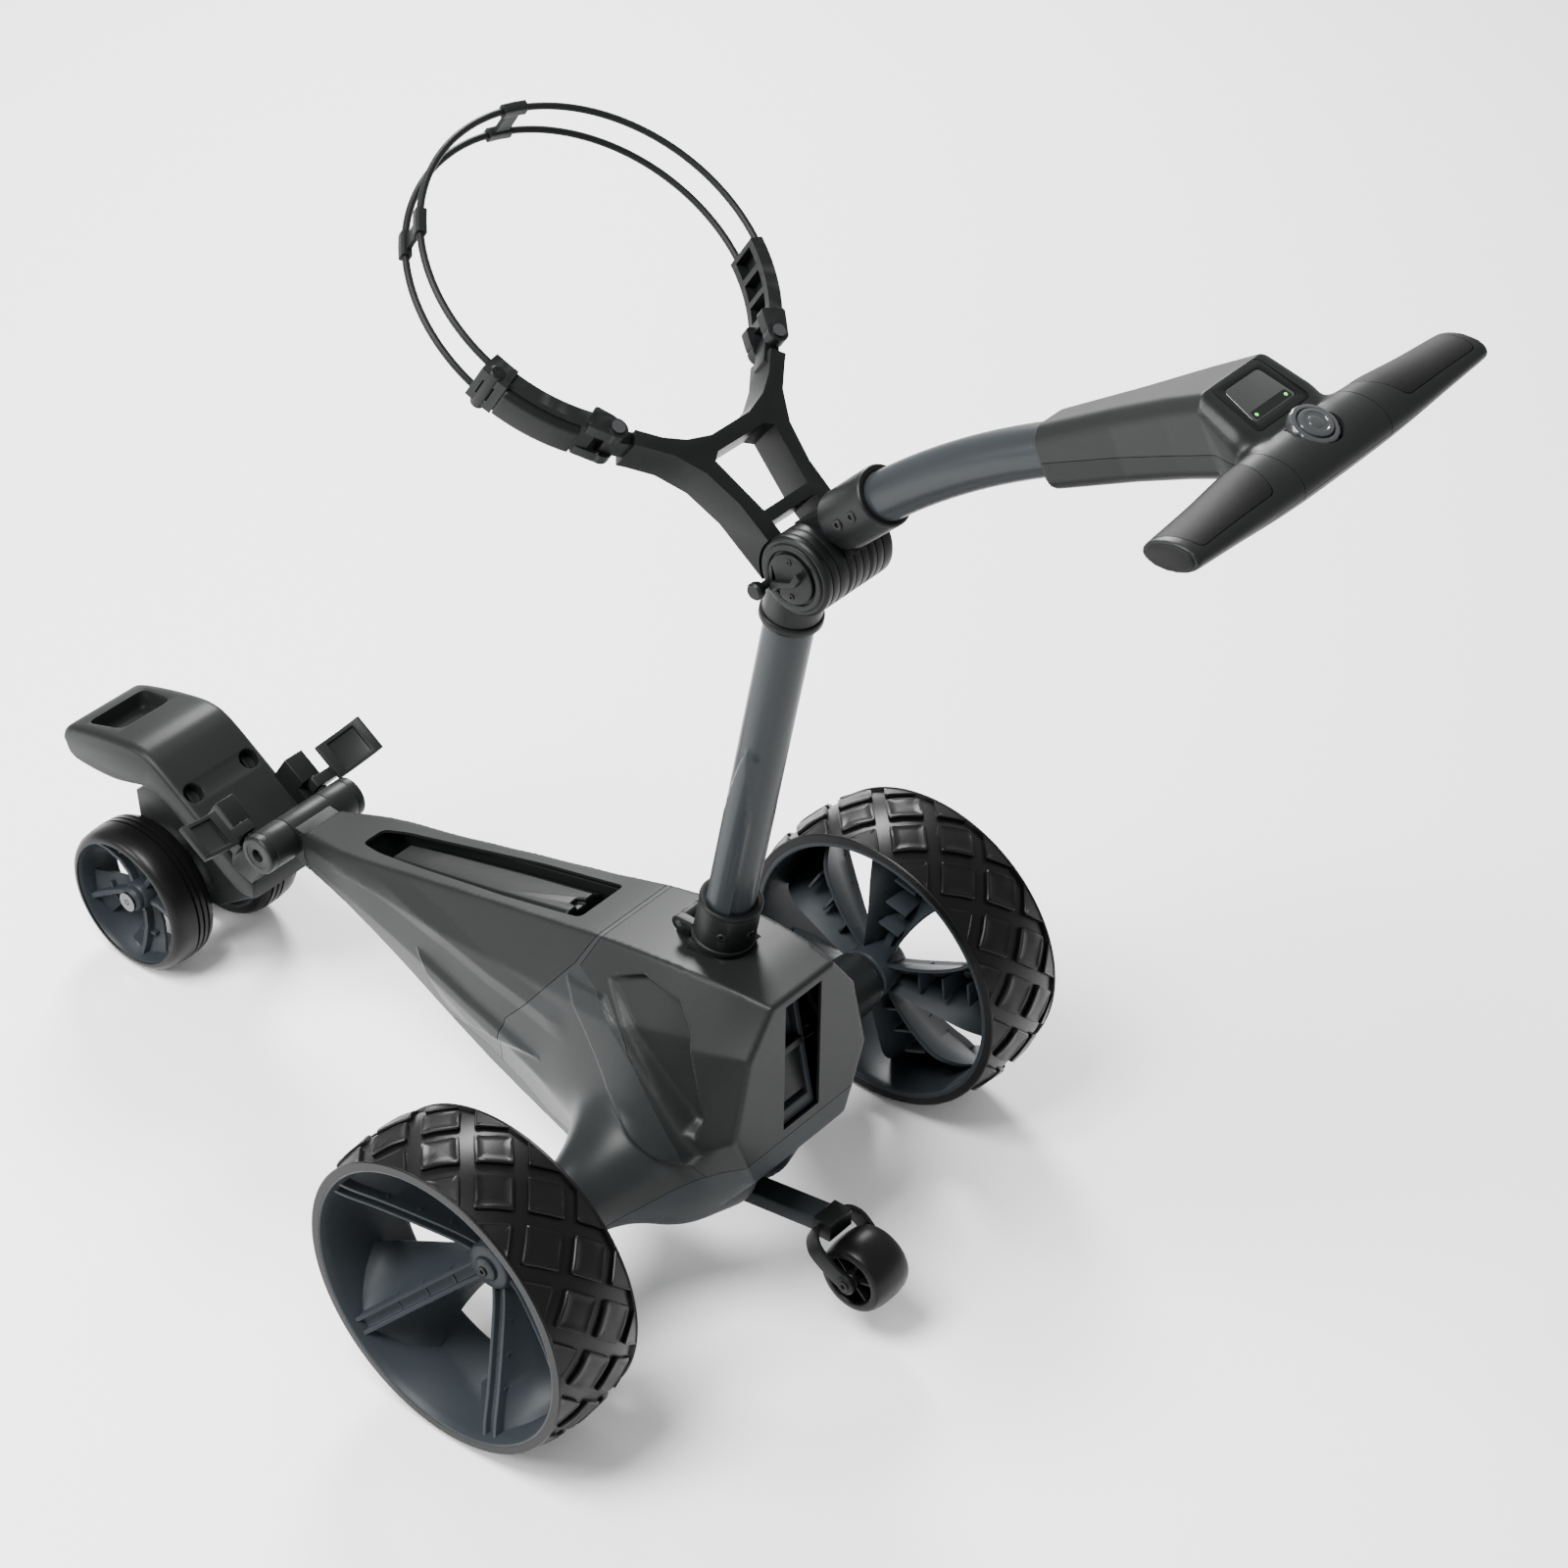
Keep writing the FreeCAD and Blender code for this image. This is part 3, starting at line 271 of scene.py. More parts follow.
def rounded(points, radius, steps=4):
    """Outline with its corners replaced by short arcs."""
    out, n = [], len(points)
    for i in range(n):
        p, a, b = (Vector(points[k % n]) for k in (i, i - 1, i + 1))
        into, away = (a - p), (b - p)
        cut = min(radius, into.length * 0.45, away.length * 0.45)
        start, end = p + into.normalized() * cut, p + away.normalized() * cut
        for s in range(steps + 1):
            t = s / steps
            out.append(tuple((1 - t) ** 2 * start + 2 * t * (1 - t) * p + t * t * end))
    return out


def catmull(points, steps):
    """Smooth line through the points."""
    pts = [np.array(p, float) for p in points]
    pts = [2 * pts[0] - pts[1]] + pts + [2 * pts[-1] - pts[-2]]
    out = []
    for i in range(1, len(pts) - 2):
        a, b, c, d = pts[i - 1:i + 3]
        for s in range(steps):
            t = s / steps
            out.append(0.5 * (2 * b + (c - a) * t + (2 * a - 5 * b + 4 * c - d) * t * t
                              + (3 * b - a - 3 * c + d) * t ** 3))
    out.append(pts[-2])
    return [tuple(p) for p in out]


def swept(path, section, up=(1, 0, 0)):
    """Carries a closed 2-D section along a path; its first axis stays near up."""
    rings = []
    for i, p in enumerate(path):
        tangent = Vector(path[min(i + 1, len(path) - 1)]) - Vector(path[max(i - 1, 0)])
        tangent.normalize()
        side = Vector(up) - tangent * Vector(up).dot(tangent)
        side.normalize()
        other = tangent.cross(side)
        rings.append([tuple(Vector(p) + side * a + other * b) for a, b in section])
    return loft(rings)


def raw_object(name, part, frame_matrix=HERE):
    mesh = bpy.data.meshes.new(name)
    mesh.from_pydata([tuple(v) for v in part[0]], [], part[1])
    mesh.transform(TO_ROW @ frame_matrix)
    bm = bmesh.new()
    bm.from_mesh(mesh)
    bmesh.ops.remove_doubles(bm, verts=bm.verts, dist=1e-6)
    bmesh.ops.recalc_face_normals(bm, faces=bm.faces)
    bm.to_mesh(mesh)
    bm.free()
    obj = bpy.data.objects.new(name, mesh)
    bpy.context.scene.collection.objects.link(obj)
    return obj


def applied(obj):
    """The object with its modifiers made real."""
    bpy.context.view_layer.update()
    graph = bpy.context.evaluated_depsgraph_get()
    mesh = bpy.data.meshes.new_from_object(obj.evaluated_get(graph))
    obj.modifiers.clear()
    obj.data = mesh
    return obj


def carve(obj, cutters, operation="DIFFERENCE"):
    for cutter in cutters:
        modifier = obj.modifiers.new("carve", "BOOLEAN")
        modifier.operation = operation
        modifier.solver = "EXACT"
        modifier.object = cutter
    applied(obj)
    for cutter in cutters:
        bpy.data.objects.remove(cutter)
    return obj


def finish_piece(obj, body, mat, replaces=(), bevel=0.0, segments=3, angle=30.0, smooth=40.0):
    """Bevels, shades, colours and attaches a piece."""
    if bevel:
        modifier = obj.modifiers.new("round", "BEVEL")
        modifier.width = bevel * 0.001
        modifier.segments = segments
        modifier.limit_method = "ANGLE"
        modifier.angle_limit = math.radians(angle)
        applied(obj)
    obj.data.materials.clear()
    obj.data.materials.append(mat)
    for polygon in obj.data.polygons:
        polygon.material_index = 0
    obj.data.set_sharp_from_angle(angle=math.radians(smooth))
    obj.data.polygons.foreach_set("use_smooth", [True] * len(obj.data.polygons))
    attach(obj, body)
    SLOT_OF[id(mat)]
    if replaces:
        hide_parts(*replaces)
    return obj


def piece(name, body, mat, part, frame_matrix=HERE, cut=(), **kw):
    """Part in a local frame to finished piece; cut is a list of parts in the same frame."""
    obj = raw_object(name, part, frame_matrix)
    if cut:
        carve(obj, [raw_object(name + "_cut", c, frame_matrix) for c in cut])
    return finish_piece(obj, body, mat, **kw)


def screw(name, body, centre, normal, r=3.4, height=1.6):
    """Round head with a bevelled rim and a six-sided socket."""
    hexagon = [(0.5 * r * math.cos(math.pi * i / 3), 0.5 * r * math.sin(math.pi * i / 3))
               for i in range(6)]
    rings = [[(x, y, z) for x, y in circle(r * k)]
             for k, z in ((1, -1.5), (1, height * 0.6), (0.86, height))]
    turn = Vector((0, 0, 1)).rotation_difference(Vector(normal)).to_matrix().to_4x4()
    place = Matrix.Translation(centre) @ turn
    return piece(name, body, SCREW, loft(rings), place,
                 cut=[prism_z(hexagon, height - 1.3, height + 2)], smooth=30)


# === camera, light, floor =================================================================
def set_stage():
    azimuth, elevation, roll = (math.radians(v) for v in (-50.8, 37.15, 1.0))
    back = Vector((math.sin(azimuth) * math.cos(elevation),
                   -math.cos(azimuth) * math.cos(elevation), math.sin(elevation)))
    right = (-back).cross(Vector((0, 0, 1))).normalized()
    up = right.cross(-back)
    cam_x = right * math.cos(roll) + up * math.sin(roll)
    cam_y = -right * math.sin(roll) + up * math.cos(roll)
    data = bpy.data.cameras.new("camera")
    data.lens, data.sensor_width, data.clip_end = 89.86, 36.0, 50.0
    camera = bpy.data.objects.new("camera", data)
    place = Matrix((cam_x, cam_y, back)).transposed().to_4x4()
    place.translation = TO_ROW @ Vector((-1742.2, -1502.2, 2192.5))
    camera.matrix_world = place
    bpy.context.scene.collection.objects.link(camera)
    bpy.context.scene.camera = camera

    floor_mat = bpy.data.materials.new("floor")
    floor_mat.use_nodes = True
    tree = floor_mat.node_tree
    noise = tree.nodes.new("ShaderNodeTexNoise")
    noise.inputs["Scale"].default_value = 3.0
    ramp = tree.nodes.new("ShaderNodeMapRange")
    ramp.inputs["To Min"].default_value = 0.55
    ramp.inputs["To Max"].default_value = 0.62
    tree.links.new(noise.outputs["Fac"], ramp.inputs["Value"])
    shader = tree.nodes["Principled BSDF"]
    shader.inputs["Base Color"].default_value = (0.93, 0.93, 0.93, 1)
    tree.links.new(ramp.outputs["Result"], shader.inputs["Roughness"])
    mesh = bpy.data.meshes.new("floor")
    mesh.from_pydata([(-9, -9, 0), (9, -9, 0), (9, 9, 0), (-9, 9, 0)], [], [(0, 1, 2, 3)])
    mesh.materials.append(floor_mat)
    floor = bpy.data.objects.new("floor", mesh)
    bpy.context.scene.collection.objects.link(floor)

    world = bpy.data.worlds.new("studio")
    world.use_nodes = True
    world.node_tree.nodes["Background"].inputs["Color"].default_value = (1, 1, 1, 1)
    world.node_tree.nodes["Background"].inputs["Strength"].default_value = 0.9
    bpy.context.scene.world = world
    for name, place, aim, size, power in (
            ("key", (-1.3, 0.3, 2.9), (0, 0, 0.3), 1.5, 230),
            ("rim", (1.9, 2.0, 2.2), (0, 0, 0.4), 1.0, 170),
            ("strip", (-2.4, 1.6, 1.5), (0, 0, 0.3), 0.9, 90)):
        light = bpy.data.lights.new(name, "AREA")
        light.shape, light.size, light.energy = "DISK", size, power
        obj = bpy.data.objects.new(name, light)
        obj.matrix_world = Matrix.Translation(place) @ (
            Vector(aim) - Vector(place)).to_track_quat("-Z", "Y").to_matrix().to_4x4()
        bpy.context.scene.collection.objects.link(obj)


# === rear wheels ==========================================================================
TREAD = ((-43.0, 125.6), (-41.0, 126.6), (-23.6, 131.4), (0.0, 133.0), (23.6, 131.4), (41.0, 126.6),
         (43.0, 125.6))
TREAD_COUNT = 15


def tread_radius(x):
    xs, rs = zip(*TREAD)
    return float(np.interp(x, xs, rs))


def clip_band(points, limit):
    """Clips a convex outline to |x| <= limit."""
    for sign in (1, -1):
        out = []
        for i, p in enumerate(points):
            q = points[(i + 1) % len(points)]
            inside, next_inside = sign * p[0] <= limit, sign * q[0] <= limit
            if inside:
                out.append(p)
            if inside != next_inside:
                t = (sign * limit - p[0]) / (q[0] - p[0])
                out.append((sign * limit, p[1] + t * (q[1] - p[1])))
        points = out
    return points


def tread_block(x, angle, half):
    """Raised block: a square stood on its corner, clipped at the tyre's shoulders."""
    arc = REAR_R - 2
    square = [(x + half, 0), (x, half), (x - half, 0), (x, -half)]
    outline = rounded(clip_band(square, 42.4), 2.6, 3)
    dense = []
    for i, p in enumerate(outline):
        q = outline[(i + 1) % len(outline)]
        cuts = max(1, int(math.dist(p, q) / 4.5))
        dense += [(p[0] + (q[0] - p[0]) * s / cuts, p[1] + (q[1] - p[1]) * s / cuts)
                  for s in range(cuts)]
    cx = sum(p[0] for p in dense) / len(dense)
    cu = sum(p[1] for p in dense) / len(dense)
    verts = []
    for scale, height in ((1.0, -4.6), (1.0, -1.0), (0.945, -0.05), (0.84, 0.0), (0.8, -0.35),
                          (0.45, -0.35)):
        for px, pu in dense:
            qx, qu = cx + (px - cx) * scale, cu + (pu - cu) * scale
            r = tread_radius(qx) + height
            a = angle + qu / arc
            verts.append((qx, r * math.cos(a), REAR_R + r * math.sin(a)))
    count = len(dense)
    faces = ring_faces(count, 6)
    a = angle + cu / arc
    r = tread_radius(cx) - 0.35
    verts.append((cx, r * math.cos(a), REAR_R + r * math.sin(a)))
    faces += [(5 * count + j, 5 * count + (j + 1) % count, 6 * count) for j in range(count)]
    return verts, faces


def rear_tyre(name, side):
    carcass = [(-43, 120), (-43, 126.2), (-42, 127), (-40.6, 126.4), (-39.6, 123.8), (-24, 127.6),
               (0, 129.2), (24, 127.6), (39.6, 123.8), (40.6, 126.4), (42, 127), (43, 126.2), (43, 120)]
    parts = [lathe(carcass, 0, REAR_R, 160)]
    pitch = 2 * math.pi / TREAD_COUNT
    for i in range(TREAD_COUNT):
        for x, phase in ((-14.33, 0), (14.33, 0.5), (43.0, 0), (-43.0, 0.5)):
            parts.append(tread_block(x, (i + phase) * pitch, 20.6))
    part = moved(joined(*parts), Matrix.Translation((REAR_X, 0, 0)))
    piece("tyre_rear_" + name, "rear_wheel_" + name, TYRE, sided(part, side),
          replaces=["rear_tyre_" + name], smooth=32)


def polar(r, t, x):
    """Point on the wheel at radius r, arc offset t from straight up, axial place x."""
    a = t / max(r, 1)
    return (x, r * math.sin(a), r * math.cos(a))


def spoke(inner):
    """Gabled spoke: a grooved ridge towards the outside with a sloping panel on each side."""
    stations = ((19, 13, 24, 5), (34, 15, 31, 5), (60, 21, 46, 8), (88, 31, 63, 14),
                (106, 42, 75, 26), (117, 52, 81, 40))
    rings = []
    for r, wide, top, low in catmull(stations, 5):
        line = [(-wide, low), (-wide * 0.55 - 4, (low * 0.55 + top * 0.45)), (-8.5, top - 8),
                (-7.5, top), (-4.2, top), (-3.6, top - 5), (3.6, top - 5), (4.2, top), (7.5, top),
                (8.5, top - 8), (wide * 0.55 + 4, (low * 0.55 + top * 0.45)), (wide, low)]
        outer = [polar(r, t, inner + a) for t, a in line]
        under = [polar(r, t * 0.93, inner + a - 3.2) for t, a in reversed(line)]
        rings.append(outer + under)
    parts = [loft(rings)]
    for r in (44, 66, 88):
        top = np.interp(r, [s[0] for s in stations], [s[2] for s in stations])
        low = np.interp(r, [s[0] for s in stations], [s[3] for s in stations])
        corners = [(-9, top - 5), (9, top - 5), (11, low + 6), (-11, low + 6)]
        parts.append(loft([[polar(rr, t, inner + a) for t, a in corners] for rr in (r - 1.2, r + 1.2)]))
    return joined(*parts)


def rear_rim(name, side):
    inner = -REAR_HALF
    barrel = [(-43, 120), (-43, 116.4), (-41.5, 115.6), (-36, 114.4), (36, 115.4), (40, 117.4),
              (42.2, 118), (43, 119), (43, 120)]
    hub = [(inner - 7, 6), (inner - 7, 21), (inner - 5.5, 22.8), (inner + 4, 23), (inner + 24, 20.5),
           (inner + 27, 18.6), (inner + 28, 14), (inner + 28, 0), (inner + 24, 0), (inner + 24, 6)]
    parts = [lathe(barrel, 0, 0, 160), lathe(hub, 0, 0, 64)]
    for i in range(5):
        parts.append(moved(spoke(inner), Matrix.Rotation(math.radians(72 * i + 12), 4, "X")))
    cap = [(inner + 27, 0), (inner + 27, 11), (inner + 30.5, 10), (inner + 32, 6), (inner + 32, 0)]
    place = Matrix.Translation((REAR_X, 0, REAR_R))
    piece("rim_rear_" + name, "rear_wheel_" + name, RIM, sided(moved(joined(*parts), place), side),
          replaces=["rear_rim_" + name], bevel=0.7, segments=2, angle=32)
    piece("hub_cap_rear_" + name, "rear_wheel_" + name, RIM,
          sided(moved(lathe(cap, 0, 0, 40), place), side), bevel=0.5)
    screw("hub_screw_rear_" + name, "rear_wheel_" + name,
          (side * (REAR_X + inner + 32), 0, REAR_R), (side, 0, 0), 4.2)


# === front wheels =========================================================================
def front_wheel(name, side):
    half = FRONT_HALF
    tyre = [(-half, 59), (-half, 63.4), (-half + 1.2, 65.4), (-half + 4, 67), (-14.5, 68.2),
            (-14, 66.6), (-12.6, 66.6), (-12.1, 68.5), (-8.5, 68.7), (-8, 66.9), (-6.6, 66.9),
            (-6.1, 68.85), (-2.5, 68.95), (-2, 67), (-0.6, 67), (-0.1, 69), (8, 68.5),
            (half - 6, 67.3), (half - 2.4, 65.2), (half - 0.8, 63.2), (half, 61.2), (half, 59)]
    place = Matrix.Translation((FRONT_X, 0, 0))
    piece("tyre_front_" + name, "front_wheel_" + name, TYRE,
          sided(moved(lathe(tyre, FRONT_Y, FRONT_R, 128), place), side),
          replaces=["front_tyre_" + name], smooth=38)
    x0 = -half
    barrel = [(x0, 60), (x0, 57), (x0 + 4, 56), (half - 6, 57.4), (half - 1, 59.2), (half, 60)]
    hub = [(x0, 5.1), (x0, 14), (half - 16, 13), (half - 13, 11), (half - 12, 5.1)]
    parts = [lathe(barrel, 0, 0, 128), lathe(hub, 0, 0, 48)]
    for i in range(5):
        turn = Matrix.Rotation(math.radians(72 * i + 30), 4, "X")
        rings = []
        for r, wide, top in ((11, 7, 26), (20, 8.5, 24), (34, 12, 25), (48, 17, 30), (57.5, 22, 36)):
            line = [(-wide, top - 10), (-3.2, top - 7), (-2.4, top), (2.4, top), (3.2, top - 7),
                    (wide, top - 10)]
            rings.append([polar(r, t, x0 + a) for t, a in line]
                         + [polar(r, t, x0 + a - 3) for t, a in reversed(line)])
        parts.append(moved(loft(rings), turn))
        bar = [(-9, 0), (9, 0), (9, 3), (-9, 3)]
        parts.append(moved(loft([[polar(40 + b, t, x0 + a) for t, b in bar] for a in (14, 24)]), turn))
    cap = [(half - 13, 0), (half - 13, 12), (half - 9, 11.4), (half - 6, 9), (half - 5, 5),
           (half - 5, 0)]
    centre = Matrix.Translation((FRONT_X, FRONT_Y, FRONT_R))
    piece("rim_front_" + name, "front_wheel_" + name, RIM, sided(moved(joined(*parts), centre), side),
          replaces=["front_rim_" + name], bevel=0.6, segments=2, angle=32)
    piece("hub_cap_front_" + name, "front_wheel_" + name, RIM,
          sided(moved(lathe(cap, 0, 0, 40), centre), side), bevel=0.6)
    screw("hub_screw_front_" + name, "front_wheel_" + name,
          (side * (FRONT_X + half - 5), FRONT_Y, FRONT_R), (side, 0, 0), 3.4)


# === body =================================================================================
# y station, bottom z, top z, half widths at the bottom, waist, shoulder and top
STATIONS = (
    (412, 166, 206, 18, 23, 23, 20), (356, 156, 220, 24, 33, 37, 31), (290, 128, 236, 26, 38, 43, 33),
    (206, 88, 258, 28, 46, 52, 36), (120, 62, 280, 34, 62, 60, 39), (60, 56, 296, 44, 80, 68, 42),
    (-10, 66, 310, 52, 98, 74, 44), (-60, 96, 314, 54, 92, 70, 42), (-104, 150, 312, 56, 78, 62, 36))


def body_rings():
    rings = []
    for y, bottom, top, low, waist, shoulder, high in catmull(STATIONS, 10):
        height = top - bottom
        right = [(0, bottom), (low, bottom), (waist, bottom + 0.36 * height),
                 (shoulder, bottom + 0.78 * height), (high, top), (0, top)]
        dense = []
        for a, b in zip(right[:-1], right[1:]):
            dense += [(a[0] + (b[0] - a[0]) * s / 8, a[1] + (b[1] - a[1]) * s / 8) for s in range(8)]
        line = dense + [right[-1]] + [(-x, z) for x, z in reversed(dense[1:])]
        rings.append([(x, y, z) for x, z in line])
    return rings


def signed_distance(points, polygon):
    """Distance of (n, 2) points to a polygon's edge, positive inside."""
    best = np.full(len(points), 1e9)
    inside = np.zeros(len(points), bool)
    n = len(polygon)
    for i in range(n):
        a, b = np.array(polygon[i], float), np.array(polygon[(i + 1) % n], float)
        edge = b - a
        t = np.clip(((points - a) @ edge) / (edge @ edge), 0, 1)
        best = np.minimum(best, np.linalg.norm(points - (a + t[:, None] * edge), axis=1))
        crosses = (a[1] > points[:, 1]) != (b[1] > points[:, 1])
        with np.errstate(divide="ignore", invalid="ignore"):
            hit = (b[0] - a[0]) * (points[:, 1] - a[1]) / (b[1] - a[1]) + a[0]
        inside ^= crosses & (points[:, 0] < hit)
    return np.where(inside, best, -best)


def step(values, soft, start=0.0):
    t = np.clip((values - start) / soft, 0, 1)
    return t * t * (3 - 2 * t)


def mesh_array(obj):
    co = np.empty(len(obj.data.vertices) * 3, np.float32)
    obj.data.vertices.foreach_get("co", co)
    co = co.reshape(-1, 3).astype(float) * 1000.0
    co[:, 1] -= SHIFT_Y
    return co


def store_array(obj, co):
    co = co.copy()
    co[:, 1] += SHIFT_Y
    obj.data.vertices.foreach_set("co", (co / 1000.0).astype(np.float32).ravel())
    obj.data.update()


def smooth_where(obj, weight, rounds):
    """Laplacian smoothing of the mesh, each vertex by its own weight."""
    co = mesh_array(obj)
    edges = np.empty(len(obj.data.edges) * 2, np.int32)
    obj.data.edges.foreach_get("vertices", edges)
    a, b = edges[0::2], edges[1::2]
    count = np.bincount(np.concatenate([a, b]), minlength=len(co))[:, None]
    for _ in range(rounds):
        total = np.zeros_like(co)
        for k in range(3):
            total[:, k] = (np.bincount(a, co[b, k], len(co)) + np.bincount(b, co[a, k], len(co)))
        co += (total / np.maximum(count, 1) - co) * (0.6 * weight)[:, None]
    store_array(obj, co)


RECESS = ((46, 276), (10, 293), (-30, 291), (-47, 276), (-74, 214), (-70, 196), (-58, 198),
          (-10, 236))
BAND = ((84, 256), (40, 262), (4, 240), (-34, 216), (-76, 184), (-66, 168), (-44, 166), (20, 196))
WEDGE = ((262, 176), (200, 164), (112, 160), (160, 142), (222, 118), (246, 120))


def body_form():
    """Whole body with its axle cones as one dense skin, then its flank modelling."""
    body = raw_object("body_form", loft(body_rings()))
    cones = []
    for side in (-1, 1):
        cone = lathe([(20, 0), (20, 82), (70, 70), (88, 56), (112, 42), (146, 31), (196, 25.4),
                      (203, 25), (203, 0)], 0, REAR_R, 96)
        cones.append(raw_object("cone", sided(cone, side)))
    carve(body, cones, "UNION")
    modifier = body.modifiers.new("skin", "REMESH")
    modifier.mode = "VOXEL"
    modifier.voxel_size = 0.0019
    applied(body)
    co = mesh_array(body)
    reach = np.abs(co[:, 0])
    radial = np.hypot(co[:, 1], co[:, 2] - REAR_R)
    near = step(reach, 26, 48) * (1 - step(reach, 30, 128)) * (1 - step(radial, 30, 80))
    rounds = 150
    smooth_where(body, 0.25 * np.ones(len(co)), 8)
    smooth_where(body, near, rounds)
    co = mesh_array(body)
    flank = co[:, 1:3]
    outward = np.sign(co[:, 0])
    reach = np.abs(co[:, 0])
    on_flank = step(reach, 12, 30)
    recess = signed_distance(flank, RECESS)
    wedge_depth = np.clip((46 - flank[:, 0]) / 100, 0, 1)
    move = -15.0 * step(recess, 6.5, -1.0) * wedge_depth ** 0.8
    band = signed_distance(flank, BAND)
    move += 3.2 * step(band, 4, -1.5)
    move += 4.2 * step(signed_distance(flank, WEDGE), 9, -3)
    crease = np.abs(flank[:, 1] - np.interp(flank[:, 0], [60, 100, 170, 226, 303, 340, 400],
                                             [216, 210, 210, 216, 222, 220, 200]))
    move += 2.6 * (1 - np.clip(crease / 16, 0, 1)) * step(flank[:, 0], 30, 70)
    co[:, 0] += outward * move * on_flank
    store_array(body, co)
    return body


def belly_line(y):
    return np.interp(y, [-140, -104, -84, -40, 20, 60, 120, 150, 190, 232, 300, 340],
                     [176, 172, 160, 128, 96, 84, 76, 97, 110, 111, 70, 40])


def seam_front(z):
    """Front cover to rear cover, as y over z."""
    return np.interp(z, [90, 172, 205, 244, 267, 300, 340], [180, 154, 126, 97, 80, 64, 60])


def seam_flank(z):
    """Side panel to rear cover, as y over z."""
    return np.interp(z, [60, 120, 152, 183, 215, 251, 262, 268, 300],
                     [-92, -84, -72, -58, -24, 18, 50, 74, 60])


def part_off(obj, curve, axis, over, keep_above, gap=0.35):
    """Keeps the side of the mesh above (or below) a curved line: value on axis against over."""
    copy = obj.copy()
    copy.data = obj.data.copy()
    bpy.context.scene.collection.objects.link(copy)
    co = mesh_array(copy)
    co[:, axis] -= curve(co[:, over])
    bm = bmesh.new()
    store_array(copy, co)
    bm.from_mesh(copy.data)
    normal = Vector((0, 0, 0))
    normal[axis] = 1.0
    level = (gap if keep_above else -gap) * 0.001
    centre = Vector((0, SHIFT_Y * 0.001 if axis == 1 else 0, 0)) + normal * level
    bmesh.ops.bisect_plane(bm, geom=bm.verts[:] + bm.edges[:] + bm.faces[:], plane_co=centre,
                           plane_no=normal, clear_inner=keep_above, clear_outer=not keep_above,
                           dist=1e-7)
    bm.to_mesh(copy.data)
    bm.free()
    co = mesh_array(copy)
    co[:, axis] += curve(co[:, over])
    store_array(copy, co)
    return copy


def shell_piece(obj, name, mat, replaces):
    """Gives a skin its wall, then cuts the openings."""
    obj.name = name
    modifier = obj.modifiers.new("wall", "SOLIDIFY")
    modifier.thickness = WALL * 0.001
    modifier.offset = -1
    modifier.use_even_offset = False
    applied(obj)
    carve(obj, body_cutters())
    return finish_piece(obj, "chassis", mat, replaces=replaces, smooth=50)


def body_cutters():
    """Battery bay and rear pocket."""
    bay = [(-26, -125), (26, -125), (26, -40), (21, 60), (17.5, 112), (12, 136), (-12, 136),
           (-17.5, 112), (-21, 60), (-26, -40)]
    cuts = [raw_object("cut", prism_z(rounded(bay, 6), -66, 60), BAY)]
    cuts.append(raw_object("cut", block(-21, 21, -30, 9, -62, 58), REAR))
    return cuts


def build_body():
    whole = body_form()
    top = part_off(whole, belly_line, 2, 1, True)
    pan = part_off(whole, belly_line, 2, 1, False)
    front = part_off(top, seam_front, 1, 2, True)
    back = part_off(top, seam_front, 1, 2, False)
    panel = part_off(back, seam_flank, 1, 2, True, 0.3)
    cover = part_off(back, seam_flank, 1, 2, False, 0.3)
    for spare in (whole, top, back):
        bpy.data.objects.remove(spare)
    shell_piece(front, "cover_front", COVER, ["front_cover"])
    shell_piece(panel, "flank_panels", PANEL, ["side_panels"])
    shell_piece(cover, "cover_rear", COVER,
                ["rear_cover", "axle_housing_left", "axle_housing_right"])
    shell_piece(pan, "pan_belly", PAN, ["belly_pan"])


# === carried-over CAD nodes ===============================================================
def rounded_copy(node, body, mat, bevel, segments=3):
    """CAD shape with its edges rounded, as a new piece."""
    mesh = NODES[node].data.copy()
    obj = bpy.data.objects.new("v_" + node, mesh)
    bpy.context.scene.collection.objects.link(obj)
    bm = bmesh.new()
    bm.from_mesh(mesh)
    bmesh.ops.remove_doubles(bm, verts=bm.verts, dist=2e-6)
    bmesh.ops.dissolve_limit(bm, angle_limit=math.radians(1.0), verts=bm.verts, edges=bm.edges)
    bm.to_mesh(mesh)
    bm.free()
    return finish_piece(obj, body, mat, replaces=[node], bevel=bevel, angle=28.0, segments=segments)


def paint_nodes():
    finish = {sub["node"]: sub["material_slot"] for sub in frame["record"]["subparts"]}
    for name, obj in NODES.items():
        obj.data.materials.clear()
        obj.data.materials.append(SLOTS[finish[name]])
        for polygon in obj.data.polygons:
            polygon.material_index = 0


